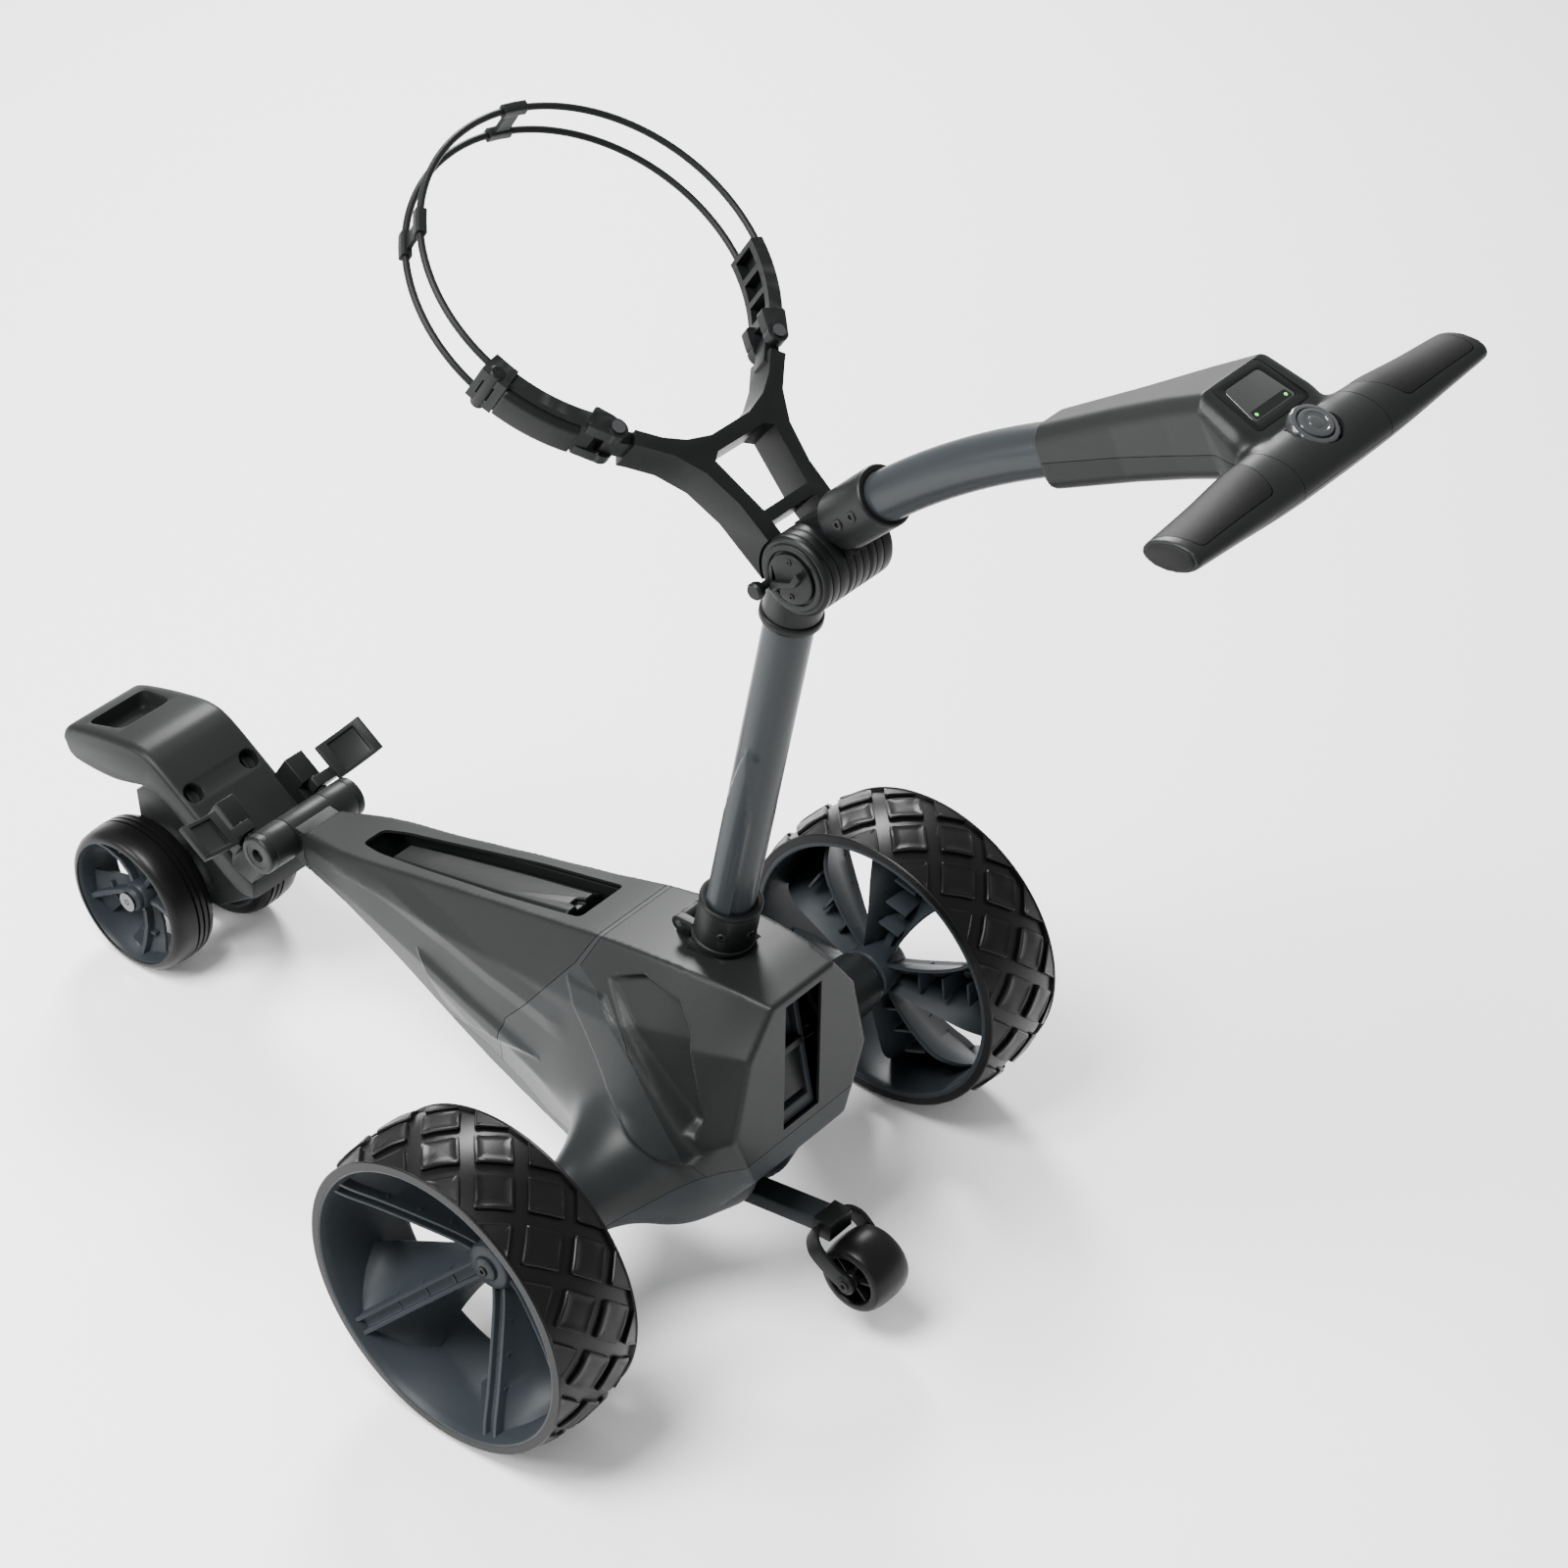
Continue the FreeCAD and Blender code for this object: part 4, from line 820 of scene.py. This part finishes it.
# === mast and hinge =======================================================================
def build_mast():
    rings = []
    for i in range(90):
        z = 4 + i * (348 / 89)
        ring = []
        for k in range(72):
            a = 2 * math.pi * k / 72
            off = min(abs(math.degrees(a) - c) for c in (0, 180, 360))
            reach = 43 * min(1, max(0, (206 - z) / 70)) ** 0.55
            lift = 2.3 * float(step(reach - off, 9)) if z < 206 else 0.0
            flat = 1.0 - 0.03 * float(step(60 - off, 40)) if z < 200 else 1.0
            r = 18.5 * flat + lift
            ring.append((r * math.cos(a), r * math.sin(a), z))
        rings.append(ring)
    piece("mast", "mast", MAST_PAINT, loft(rings), MAST, replaces=["mast_tube"], smooth=35)
    rounded_copy("mast_collar", "mast", BLACK, 1.3)
    lip = moved(lathe([(38.5, 18.9), (38.5, 24.1), (39.4, 24.6), (41.2, 24.6), (42.4, 23.6),
                       (42.4, 18.9)], 0, 0, 72), Matrix.Rotation(math.radians(-90), 4, "Y"))
    piece("collar_lip", "mast", BLACK, lip, MAST, bevel=0.4)
    foot = moved(lathe([(0, 18), (0, 24.4), (1, 25.2), (5, 25.2), (6, 24.2), (6, 18)], 0, 0, 72),
                 Matrix.Rotation(math.radians(-90), 4, "Y"))
    piece("collar_foot", "mast", BLACK, foot, MAST, bevel=0.4)
    for i, angle in enumerate((-150, 70, -95)):
        a = math.radians(angle)
        centre = MAST @ Vector((23.6 * math.cos(a), 23.6 * math.sin(a), 22))
        normal = (MAST.to_3x3() @ Vector((math.cos(a), math.sin(a), 0)))
        obj = screw(f"collar_screw_{i}", "mast", centre, normal, 3.6)
        if i == 0:
            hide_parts("collar_screws")


def drum_lathe(x0, x1):
    """Ribbed length of the hinge drum between two faces."""
    profile = [(x0, 0), (x0, DRUM_R - 2.4), (x0 + 0.9, DRUM_R - 0.9), (x0 + 2.4, DRUM_R)]
    x = x0 + 6
    while x < x1 - 5:
        profile += [(x, DRUM_R), (x + 0.3, DRUM_R - 0.9), (x + 1.3, DRUM_R - 0.9), (x + 1.6, DRUM_R)]
        x += 7.5
    profile += [(x1 - 1.2, DRUM_R), (x1, DRUM_R - 1), (x1, 0)]
    return lathe(profile, DRUM_Y, DRUM_Z, 96)


def build_hinge():
    neck = [[((21.6 - 1.5 * t) * math.cos(a) * (1 + 0.35 * t), (21.6 + 2.5 * t) * math.sin(a), z)
             for a in (2 * math.pi * k / 64 for k in range(64))]
            for z, t in ((326, 0), (330, 0), (345, 0.1), (360, 0.5), (372, 0.9), (384, 1.0))]
    parts = raw_object("hinge_fork", joined(drum_lathe(-36, -11.3), drum_lathe(11.3, 36)))
    stump = raw_object("stump", loft(neck), MAST)
    room = raw_object("room", disc_x(-11.3, 11.3, DRUM_Y, DRUM_Z, 31.2, 96))
    carve(stump, [room])
    carve(parts, [stump], "UNION")
    finish_piece(parts, "mast", BLACK, replaces=["hinge_head", "hinge_caps"], bevel=0.5, segments=2)
    band = lathe([(325, 18.4), (325, 22.6), (326.4, 23.4), (331, 23.4), (332, 22.6), (332, 18.4)],
                 0, 0, 72)
    piece("mast_top_ring", "mast", BLACK, moved(band, Matrix.Rotation(math.radians(-90), 4, "Y")), MAST)
    face = [(-37.0, 20.4), (-37.6, 21.2), (-37.6, 24.6), (-36.8, 25.6), (-35.5, 25.6), (-35.5, 20.4)]
    piece("hinge_ring", "mast", BLACK, lathe(face, DRUM_Y, DRUM_Z, 96), bevel=0.2)
    cap = [(36, 0), (36, 26), (37.5, 26), (39, 24.6), (39, 9), (38, 8), (38, 0)]
    piece("hinge_cap", "mast", BLACK, lathe(cap, DRUM_Y, DRUM_Z, 72), bevel=0.4)
    stud = [(-44, 0), (-44, 3), (-45, 5.6), (-47.4, 6.6), (-50.4, 6.6), (-52, 5.2), (-52, 0)]
    stem = [(-36, 0), (-36, 3), (-45, 3), (-45, 0)]
    piece("hinge_stud", "mast", BLACK, joined(lathe(stud, DRUM_Y + 22, DRUM_Z - 14, 32),
                                              lathe(stem, DRUM_Y + 22, DRUM_Z - 14, 32)))
    rounded_copy("hinge_catch", "hinge_catch", BLACK, 0.8)
    for i, dz in enumerate((13.5, -13.5)):
        screw(f"catch_screw_{i}", "hinge_catch", (-39.4, DRUM_Y + 1.5 * dz / 13, DRUM_Z + dz),
              (-1, 0, 0), 2.3, 0.8)
    # handle side: knuckle, sleeve, tube
    knuckle = raw_object("handle_sleeve", drum_lathe(-11, 11))
    sleeve = moved(lathe([(30, 0), (30, 17), (34, 21.3), (37, 22), (80, 22.6), (82.5, 22.6), (84, 21.6),
                          (84, 17.9), (78, 17.9), (78, 0)], 0, 0, 96),
                   Matrix.Translation((0, 15, 0)) @ Matrix.Rotation(math.radians(-90), 4, "Y"))
    web = block(-10.8, 10.8, -8, 31, 2, 38)
    joint = raw_object("joint", sleeve, SOCKET)
    carve(knuckle, [joint, raw_object("web", web, SOCKET)], "UNION")
    finish_piece(knuckle, "handle", BLACK, replaces=["handle_socket"], bevel=0.5, segments=2)
    for i, z in enumerate((52, 68)):
        centre = SOCKET @ Vector((-22.2, 15, z))
        obj = screw(f"sleeve_screw_{i}", "handle", centre, (-1, 0, 0), 4.0, 1.2)
        if i == 0:
            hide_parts("socket_screws")
    turn = math.radians(BEND_START)
    start = (DRUM_Y - 50 * math.cos(turn) + 15 * math.sin(turn),
             DRUM_Z + 50 * math.sin(turn) + 15 * math.cos(turn))
    centre = (start[0] - BEND_R * math.sin(turn), start[1] - BEND_R * math.cos(turn))
    turns = [math.radians(BEND_START - BEND_SWEEP * i / 48) for i in range(49)]
    path = [(0, centre[0] + BEND_R * math.sin(a), centre[1] + BEND_R * math.cos(a)) for a in turns]
    piece("handle_bend", "handle", MAST_PAINT, swept(path, circle(18, 64)), replaces=["handle_tube"],
          smooth=35)


# === handle ===============================================================================
BAR_STATIONS = ((156, -491, 944.5, 20.0, 9.5, -12), (150, -491, 944.5, 20.6, 10.2, -12),
                (109, -490, 944, 22, 12.5, -8), (66, -488, 943, 23.5, 15.5, 0),
                (31, -487, 942, 24.5, 16.5, 0))


def ellipse(x, y, z, ry, rz, tilt):
    """Tilted ellipse across the handle bar."""
    t = math.radians(tilt)
    return [(x, y + ry * math.cos(a) * math.cos(t) - rz * math.sin(a) * math.sin(t),
             z + ry * math.cos(a) * math.sin(t) + rz * math.sin(a) * math.cos(t))
            for a in (2 * math.pi * k / 48 for k in range(48))]


def bar_rings():
    right = list(BAR_STATIONS)
    line = [(-x, *rest) for x, *rest in right] + right[::-1]
    return [ellipse(*station) for station in catmull(line, 8)]


def stem_rings():
    along, rise = math.cos(STEM_ANGLE), math.sin(STEM_ANGLE)
    stations = [(-303 - s * along, 866 + s * rise, 27.5, half, low, high) for s, half, low, high in
                ((0, 23, -22, 22), (8, 23.4, -22, 22.8), (70, 27, -21, 29), (120, 34, -20, 34),
                 (155, 40, -20, 36.5))]
    stations += [(-459, 939, 0, 45, -18, 19.7), (-486, 942, 0, 36, -14, 7.3)]
    rings = []
    for y, z, tilt, half, low, high in stations:
        outline = rounded([(half, low + 7), (half, high - 8), (half - 8, high), (8 - half, high),
                           (-half, high - 8), (-half, low + 7), (7 - half, low), (half - 7, low)], 4, 4)
        place = at(y, z, -tilt)
        rings.append([tuple(place @ Vector((x, 0, h))) for x, h in outline])
    return rings


def display_outline(margin):
    rear, front, y0, y1 = 22 + margin, 18 + margin, 1.5 - margin, 30 + margin
    return rounded([(rear, y0), (front, y1), (-front, y1), (-rear, y0)], 3.5 + margin * 0.35, 5)


def build_handle():
    whole = raw_object("handle_form", loft(bar_rings()))
    carve(whole, [raw_object("stem", loft(stem_rings()))], "UNION")
    modifier = whole.modifiers.new("skin", "REMESH")
    modifier.mode = "VOXEL"
    modifier.voxel_size = 0.0012
    applied(whole)
    co = mesh_array(whole)
    smooth_where(whole, 0.3 * np.ones(len(co)), 6)
    co = mesh_array(whole)
    blend_zone = (1 - step(np.abs(co[:, 1] + 478), 18, 8)) * step(np.abs(co[:, 0]), 14, 24) * (
        1 - step(np.abs(co[:, 0]), 16, 58))
    smooth_where(whole, 0.9 * blend_zone, 90)
    seam = lambda y: np.interp(y, [-520, -470, -445, -303], [941, 941, 939.5, 865.5])
    top = part_off(whole, seam, 2, 1, True, 0.25)
    low = part_off(whole, seam, 2, 1, False, 0.25)
    for obj in (top, low):
        bm = bmesh.new()
        bm.from_mesh(obj.data)
        bmesh.ops.holes_fill(bm, edges=[e for e in bm.edges if e.is_boundary], sides=0)
        bm.to_mesh(obj.data)
        bm.free()
    pad_line = lambda m: rounded([(72 - m, -505 - m), (147 + m, -506 - m), (151 + m, -474 + m),
                                  (60 - m, -470 + m)], 5)
    pads = []
    for sign in (-1, 1):
        pad = whole.copy()
        pad.data = whole.data.copy()
        bpy.context.scene.collection.objects.link(pad)
        region = sided(prism_z(pad_line(0), 944.5, 1000), sign)
        carve(pad, [raw_object("region", region)], "INTERSECT")
        pads.append(pad)
    cuts = [raw_object("c", sided(prism_z(pad_line(0.5), 944, 1000), sign)) for sign in (-1, 1)]
    cuts += [raw_object("c", prism_z(display_outline(7), -1.3, 14), CONTROL),
             raw_object("c", prism_z(display_outline(0.5), -5, 14), CONTROL),
             raw_object("c", disc_z(0, DIAL_BACK, -7, 14, 14, 64), CONTROL),
             raw_object("c", disc_z(0, DIAL_BACK, 0.7, 14, 17.8, 64), CONTROL)]
    seams = lambda floor: [raw_object("c", sided(block(46.6, 47.2, -520, -462, floor, 990), sign))
                           for sign in (-1, 1)]
    carve(top, cuts + seams(930))
    carve(low, seams(900))
    bpy.data.objects.remove(whole)
    top.name, low.name = "handle_shell_top", "handle_shell_bottom"
    finish_piece(top, "handle", COVER, replaces=["handle_top"], smooth=42)
    finish_piece(low, "handle", BLACK, replaces=["handle_bottom"], smooth=42)
    for obj, (label, _) in zip(pads, SIDES):
        obj.name = "grip_pad_" + label
        finish_piece(obj, "handle", PAD, smooth=42, replaces=["grip_pads"] if label == "left" else ())
    for label, sign in SIDES:
        rings = [ellipse(x, GRIP_Y, GRIP_Z, k * 20, k * 9.6, GRIP_TILT)
                 for x, k in ((153, 0.8), (156.3, 0.86), (156.9, 0.8))]
        piece("grip_end_" + label, "handle", PAD, sided(loft(rings), sign), bevel=0.3)
    frame_part = prism_z(display_outline(6.2), -1.6, -0.7)
    piece("display_bezel", "handle", BLACK, frame_part, CONTROL, cut=[prism_z(display_outline(0.2), -4, 4)],
          bevel=0.4, segments=2)
    piece("display_glass", "handle", GLASS, prism_z(display_outline(0), -3.2, -0.9), CONTROL,
          replaces=["display_panel"], bevel=0.5)
    bar = rounded([(19, 2.5), (18.3, 9), (-18.3, 9), (-19, 2.5)], 1.5)
    piece("display_strip", "handle", BLACK, prism_z(bar, -0.95, -0.80), CONTROL)
    for i, x in enumerate((-15.5, 15.5)):
        piece(f"display_led_{i}", "handle", LED, disc_z(x, 5.5, -0.85, -0.55, 1.3, 20, 0.8), CONTROL)
    dial_pieces()


def dial_pieces():
    centre = Matrix.Translation((0, DIAL_BACK, 0))
    steps, rings = 120, []
    for z, base, depth in ((1.2, 15.4, 0), (1.8, 16.3, 0.0), (3.0, 16.9, 0.5), (7.4, 16.9, 0.5),
                           (8.8, 16.3, 0.2), (9.6, 15.0, 0), (9.6, 12.8, 0), (8.9, 12.4, 0), (1.2, 12.4, 0)):
        ring = []
        for i in range(steps):
            a = 2 * math.pi * i / steps
            notch = depth * (1.0 if math.cos(10 * a) > 0.86 else 0.0) * 1.6
            ring.append(((base - notch) * math.cos(a), (base - notch) * math.sin(a), z))
        rings.append(ring)
    verts, faces = loft(rings, capped=False)
    faces += [(8 * steps + j, 8 * steps + (j + 1) % steps, (j + 1) % steps, j) for j in range(steps)]
    piece("dial_knurl", "dial", DIAL, (verts, faces), CONTROL @ centre, replaces=["dial_ring"], smooth=50)
    profile = ((0.4, 11.9), (9.0, 11.9), (10.4, 11.3), (11.2, 9.8), (11.2, 8.4), (10.7, 7.8), (10.7, 5.4),
               (11.1, 5.0), (11.5, 3.0), (11.5, 0.3))
    rings = [[(x, y, z) for x, y in circle(r, 72)] for z, r in profile]
    piece("dial_press_cap", "dial_cap", DIAL, loft(rings), CONTROL @ centre, replaces=["dial_button"],
          smooth=35)


# === cradle ===============================================================================
def hoop_point(angle, r, z):
    a = math.radians(angle)
    return (r * math.cos(a), HOOP_L + r * math.sin(a), z)


def hoop_band(start, end, inner, outer, half, steps=24, crown=0.0):
    rings = []
    for i in range(steps + 1):
        angle = start + (end - start) * i / steps
        rings.append([hoop_point(angle, r, z) for r, z in
                      ((inner, -half), (outer - crown, -half), (outer, -half + 3), (outer, half - 3),
                       (outer - crown, half), (inner, half))])
    return loft(rings)


def arm(label, sign):
    round_hoop = lambda *band: raw_object("part", sided(hoop_band(*band), sign), HOOP)
    pad = round_hoop(-46, ARM_TIP, HOOP_R - 6, HOOP_R + 6, 17, 28, 2)
    pad.name = "arm_" + label
    ears = []
    for z0, z1 in ((8.3, 17), (-17, -8.3)):
        ears.append(raw_object("ear", sided(disc_z(84, 148, z0, z1, 8, 40), sign), HOOP))
        outline = rounded([(78, 154), (90.5, 143.5), (103, 160), (86, 169)], 3)
        ears.append(raw_object("ear", sided(prism_z(outline, z0, z1), sign), HOOP))
    carve(pad, ears, "UNION")
    cuts = []
    for a0 in (-42.0, -33.5, -25.0):
        cuts.append(round_hoop(a0, a0 + 6.4, HOOP_R - 8, HOOP_R + 2.5, 11, 6))
    carve(pad, cuts)
    end = ARM_TIP + (LOCK_SPAN if sign < 0 else 0)
    if sign < 0:
        lock = round_hoop(-17.5, -9, HOOP_R - 7, HOOP_R + 9, 18.5, 10, 3)
        carve(lock, [round_hoop(-15, -11, HOOP_R - 9, HOOP_R + 12, 7.5, 6)])
        carve(pad, [lock], "UNION")
    finish_piece(pad, "upper_arm_" + label, BLACK, replaces=["upper_arm_" + label], bevel=1.1)
    for z in (17.0, -17.0):
        centre = HOOP @ Vector((sign * 84, 148, z))
        normal = HOOP.to_3x3() @ Vector((0, 0, math.copysign(1, z)))
        screw(f"arm_screw_{label}_{'top' if z > 0 else 'low'}", "upper_arm_" + label, centre, normal, 4.4)
    # two elastic cords and the cross clip that spaces them
    first = end - 4
    parts = []
    for z in (-CORD_SPREAD, CORD_SPREAD):
        path = [hoop_point(first + (90 - first) * i / 60, HOOP_R, z) for i in range(61)]
        parts.append(swept(path, circle(CORD_R, 20), up=(0, 0, 1)))
        clip = CLIP_AT[label]
        grip = [hoop_point(clip + d, HOOP_R, z) for d in (-4.2, -3.6, 0, 3.6, 4.2)]
        sleeve = rounded([(4.6, 3.9), (4.6, -3.9), (-4.6, -3.9), (-4.6, 3.9)], 2)
        parts.append(swept(grip, sleeve, up=(0, 0, 1)))
    parts.append(hoop_band(clip - 2.6, clip + 2.6, HOOP_R - 2.6, HOOP_R + 0.6, 12, 6))
    strap = raw_object("strap_cords_" + label, sided(joined(*parts), sign), HOOP)
    finish_piece(strap, "mast", CORD, replaces=["strap_" + label], smooth=50)
    strap.parent = None
    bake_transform(strap)


def build_cradle():
    rounded_copy("cradle_bracket", "mast", BLACK, 2.6, segments=4)
    for label, sign in SIDES:
        arm(label, sign)
    lever = hoop_band(-41, -17.8, HOOP_R + 5.4, HOOP_R + 12, 13.5, 24, 2.5)
    piece("buckle", "strap_buckle", BLACK, flipped(lever), HOOP, replaces=["buckle_lever"], bevel=1.4)
    roller = [(-19.4, 0), (-19.4, 4.6), (-18.6, 5.4), (18.6, 5.4), (19.4, 4.6), (19.4, 0)]
    axle = moved(lathe(roller, 0, 0, 32), Matrix.Rotation(math.radians(90), 4, "Y"))
    spot = Vector(hoop_point(-13, HOOP_R + 5, 0))
    piece("lock_roller", "upper_arm_left", BLACK, flipped(moved(axle, Matrix.Translation(spot))),
          HOOP, bevel=0.4)


# === front section ========================================================================
def finger(label, sign):
    """Lower bag rest: a bent finger with a curved pad, hollowed in the middle."""
    across = lambda points, y0, y1: sided(
        moved(loft([[(x, y, z) for x, z in points] for y in (y0, y1)]), FINGER), sign)
    face = catmull([(16, 8.5), (30, 11.5), (44, 16), (60, 23)], 6)
    back = [(x + 1, z - 4.6) for x, z in reversed(face)]
    pad = raw_object("finger_" + label, across(face + back, -6, 28))
    stalk = rounded([(-6, -7), (7, -7), (20, -2), (40, 2), (56, 12), (52, 17), (36, 10), (16, 6),
                     (-6, 7)], 2)
    carve(pad, [raw_object("stalk", across(stalk, -2, 8))], "UNION")
    middle = face[4:-3]
    hollow = [(x, z + 3) for x, z in middle] + [(x, z - 2.2) for x, z in reversed(middle)]
    carve(pad, [raw_object("hollow", across(hollow, -2, 24))])
    finish_piece(pad, "lower_arm_" + label, FOOT, replaces=["lower_arm_" + label], bevel=0.8)


def build_front():
    top = catmull([(452, 147), (471, 154.5), (500, 173), (532, 194), (556, 209.5), (570, 217), (582, 220.5),
                   (600, 219.8), (640, 211), (672, 201.5), (681, 196), (684, 190)], 6)
    under = catmull([(683, 182), (676, 170), (655, 168), (620, 172), (598, 178), (575, 184), (552, 178),
                     (520, 158), (490, 138), (470, 127), (452, 129)], 5)
    profile = top + under
    rings = []
    for x, drop in ((-46, 5.0), (-45.4, 3.0), (-44, 1.4), (-41.5, 0.4), (-38, 0), (38, 0), (41.5, 0.4),
                    (44, 1.4), (45.4, 3.0), (46, 5.0)):
        ring = []
        for k, (y, z) in enumerate(profile):
            taper = 1.0 - 0.06 * float(step(np.array(y - 600.0), 90))
            squeeze = drop if k < len(top) else -drop * 0.6
            ring.append((x * taper, y - (drop * 0.5 if y > 670 else 0), z - squeeze))
        rings.append(ring)
    plate = raw_object("foot_board", loft(rings))
    pocket = rounded([(-28, 622), (28, 622), (32, 662), (-32, 662)], 9, 6)
    pocket_rings = [[(x * k, 642 + (y - 642) * k, z) for x, y in pocket] for z, k in
                    ((-13, 0.90), (-9, 0.97), (9, 1.05))]
    cuts = [raw_object("p", loft([[(x, y, z + 207.5 - 0.27 * (y - 642)) for x, y, z in ring]
                                  for ring in pocket_rings]))]
    for sign in (-1, 1):
        cuts.append(raw_object("h", sided(disc_z(32, 0, -12, 10, 9, 48), sign), PLATE))
        cuts.append(raw_object("h", sided(disc_z(32, 0, -1.2, 6, 9.2, 48, 1.25), sign), PLATE))
    underside = [(474, 112), (556, 170), (580, 176), (600, 169), (650, 158), (640, 120)]
    cuts.append(raw_object("u", prism_x(underside, -40, 40)))
    carve(plate, cuts)
    finish_piece(plate, "front_section", FOOT, replaces=["foot_plate"], bevel=0.8, segments=2, smooth=38)
    for label, sign in SIDES:
        slot = rounded([(32 - 1.4, -5.5), (32 + 1.4, -5.5), (32 + 1.4, 5.5), (32 - 1.4, 5.5)], 1)
        piece("lock_key_" + label, "front_section", FOOT, sided(prism_z(slot, -12.2, -8.5), sign),
              PLATE, bevel=0.3)
    rounded_copy("wheel_bracket", "front_section", FOOT, 3.5, segments=4)
    barrel = [(22.4, 6.1), (22.4, 16.9), (23, 17.6), (46.2, 17.6), (46.6, 17.0), (47.2, 17.0), (47.6, 17.6),
              (53.4, 17.6), (54.6, 16.8), (55, 15.6), (55, 12), (54.4, 11.4), (54.4, 6.1)]
    webs = prism_x([(436, 178), (438, 203), (456, 190), (474, 166), (476, 152), (452, 147)], 22.4, 46)
    for label, sign in SIDES:
        web = raw_object("hinge_tube_" + label, sided(webs, sign))
        carve(web, [raw_object("b", sided(lathe(barrel, 433, 191, 72), sign))], "UNION")
        finish_piece(web, "front_section", COVER, bevel=0.7, segments=2,
                     replaces=["front_hinge_barrels"] if sign < 0 else ())
    rounded_copy("spine_neck", "chassis", COVER, 1.2)
    rounded_copy("lower_arm_blocks", "front_section", BLACK, 0.9)
    for label, sign in SIDES:
        finger(label, sign)
        place = Matrix.Scale(sign, 4, (1, 0, 0)) @ FINGER
        centre = place @ Vector((0, -5.2, 0))
        normal = place.to_3x3() @ Vector((0, -1, 0))
        screw("finger_screw_" + label, "front_section", centre, normal, 4.0, 1.2)


# === anti-tip wheel, battery, rear face ===================================================
def build_tail():
    y, z = TIP_Y, TIP_Z
    wheel = [(-20, 21.5), (-20, 26), (-19, 28), (-15, 29.6), (-8, 30.7), (0, 31), (8, 30.7), (15, 29.6),
             (19, 28), (20, 26), (20, 21.5), (18, 20.6), (3, 20.2), (3, 7.6), (19, 7), (20, 6), (20, 4.1),
             (-20, 4.1), (-20, 6), (-19, 7), (-3, 7.6), (-3, 20.2), (-18, 20.6)]
    parts = [lathe(wheel, 0, 0, 96)]
    for i in range(6):
        turn = Matrix.Rotation(math.radians(60 * i + 15), 4, "X")
        for x0, x1 in ((3, 17), (-17, -3)):
            parts.append(moved(block(x0, x1, -1.1, 1.1, 6.5, 21), turn))
    piece("tip_roller", "anti_tip_wheel", TYRE, moved(joined(*parts), Matrix.Translation((0, y, z))),
          replaces=["anti_tip_wheel"], bevel=0.4, segments=2)
    path = [(-23.6, y - 1, z), (-24, y + 8, z + 4), (-26, y + 20, z + 13), (-25.4, y + 30, z + 20),
            (-19, y + 37.5, z + 25), (-8, y + 40, z + 27), (0, y + 40, z + 27)]
    path += [(-px, py, pz) for px, py, pz in path[-2::-1]]
    section = rounded([(2.0, 8.4), (2.0, -8.4), (-2.0, -8.4), (-2.0, 8.4)], 1.2, 3)
    rings = []
    line = catmull(path, 6)
    for i, p in enumerate(line):
        tangent = Vector(line[min(i + 1, len(line) - 1)]) - Vector(line[max(i - 1, 0)])
        tangent.normalize()
        high = Vector((0, -0.55, 0.835))
        high = (high - tangent * high.dot(tangent)).normalized()
        wide = tangent.cross(high)
        rings.append([tuple(Vector(p) + wide * a + high * b) for a, b in section])
    ring = [(21, 0), (21, 7.6), (22, 8.4), (25.4, 8.4), (26.4, 7.4), (26.4, 0)]
    eye = joined(*[sided(lathe(ring, y, z, 40), side) for side in (-1, 1)])
    axle = lathe([(-21, 0), (-21, 4), (21, 4), (21, 0)], y, z, 32)
    boss = prism_x(rounded([(-146, 84), (-146, 101), (-128, 100.5), (-128, 82.5)], 2), -13, 13)
    piece("tip_yoke", "chassis", BLACK, joined(loft(rings), eye, axle, boss),
          replaces=["anti_tip_fork"], bevel=0.5, segments=2)
    for label, sign in SIDES:
        screw("tip_screw_" + label, "chassis", (sign * 26.4, y, z), (sign, 0, 0), 4.4, 1.4)
    rounded_copy("anti_tip_bar", "chassis", BAR_PAINT, 1.6)
    case = [(-24, -62), (-24, -12), (-21.5, -8.6), (-17.5, -7.6), (-14.5, -4.6), (14.5, -4.6), (17.5, -7.6),
            (21.5, -8.6), (24, -12), (24, -62)]
    shrink = lambda t: [(x * t, zz) for x, zz in case]
    rings = [[(x, yy, zz) for x, zz in shrink(k)] for yy, k in
             ((-100, 0.96), (-98, 1.0), (-20, 1.0), (60, 0.86), (104, 0.72))]
    piece("battery_pack", "battery", CASE, loft(rings), BAY, replaces=["battery"], bevel=1.6, segments=3,
          cut=[prism_z(rounded([(-6, -103), (6, -103), (4, -92), (-4, -92)], 2), -9, 0)])
    rounded_copy("battery_plug", "chassis", BLACK, 1.0)
    rounded_copy("bay_tray", "chassis", BLACK, 0.8)
    rounded_copy("rear_frame", "chassis", PAN, 1.2)
    rounded_copy("latch_lever", "rear_latch", BLACK, 1.4)
    rounded_copy("mast_seat", "chassis", COVER, 1.6)


set_stage()
paint_nodes()
for label, sign in SIDES:
    rear_tyre(label, sign)
    rear_rim(label, sign)
    front_wheel(label, sign)
build_body()
build_mast()
build_hinge()
build_handle()
build_cradle()
build_front()
build_tail()
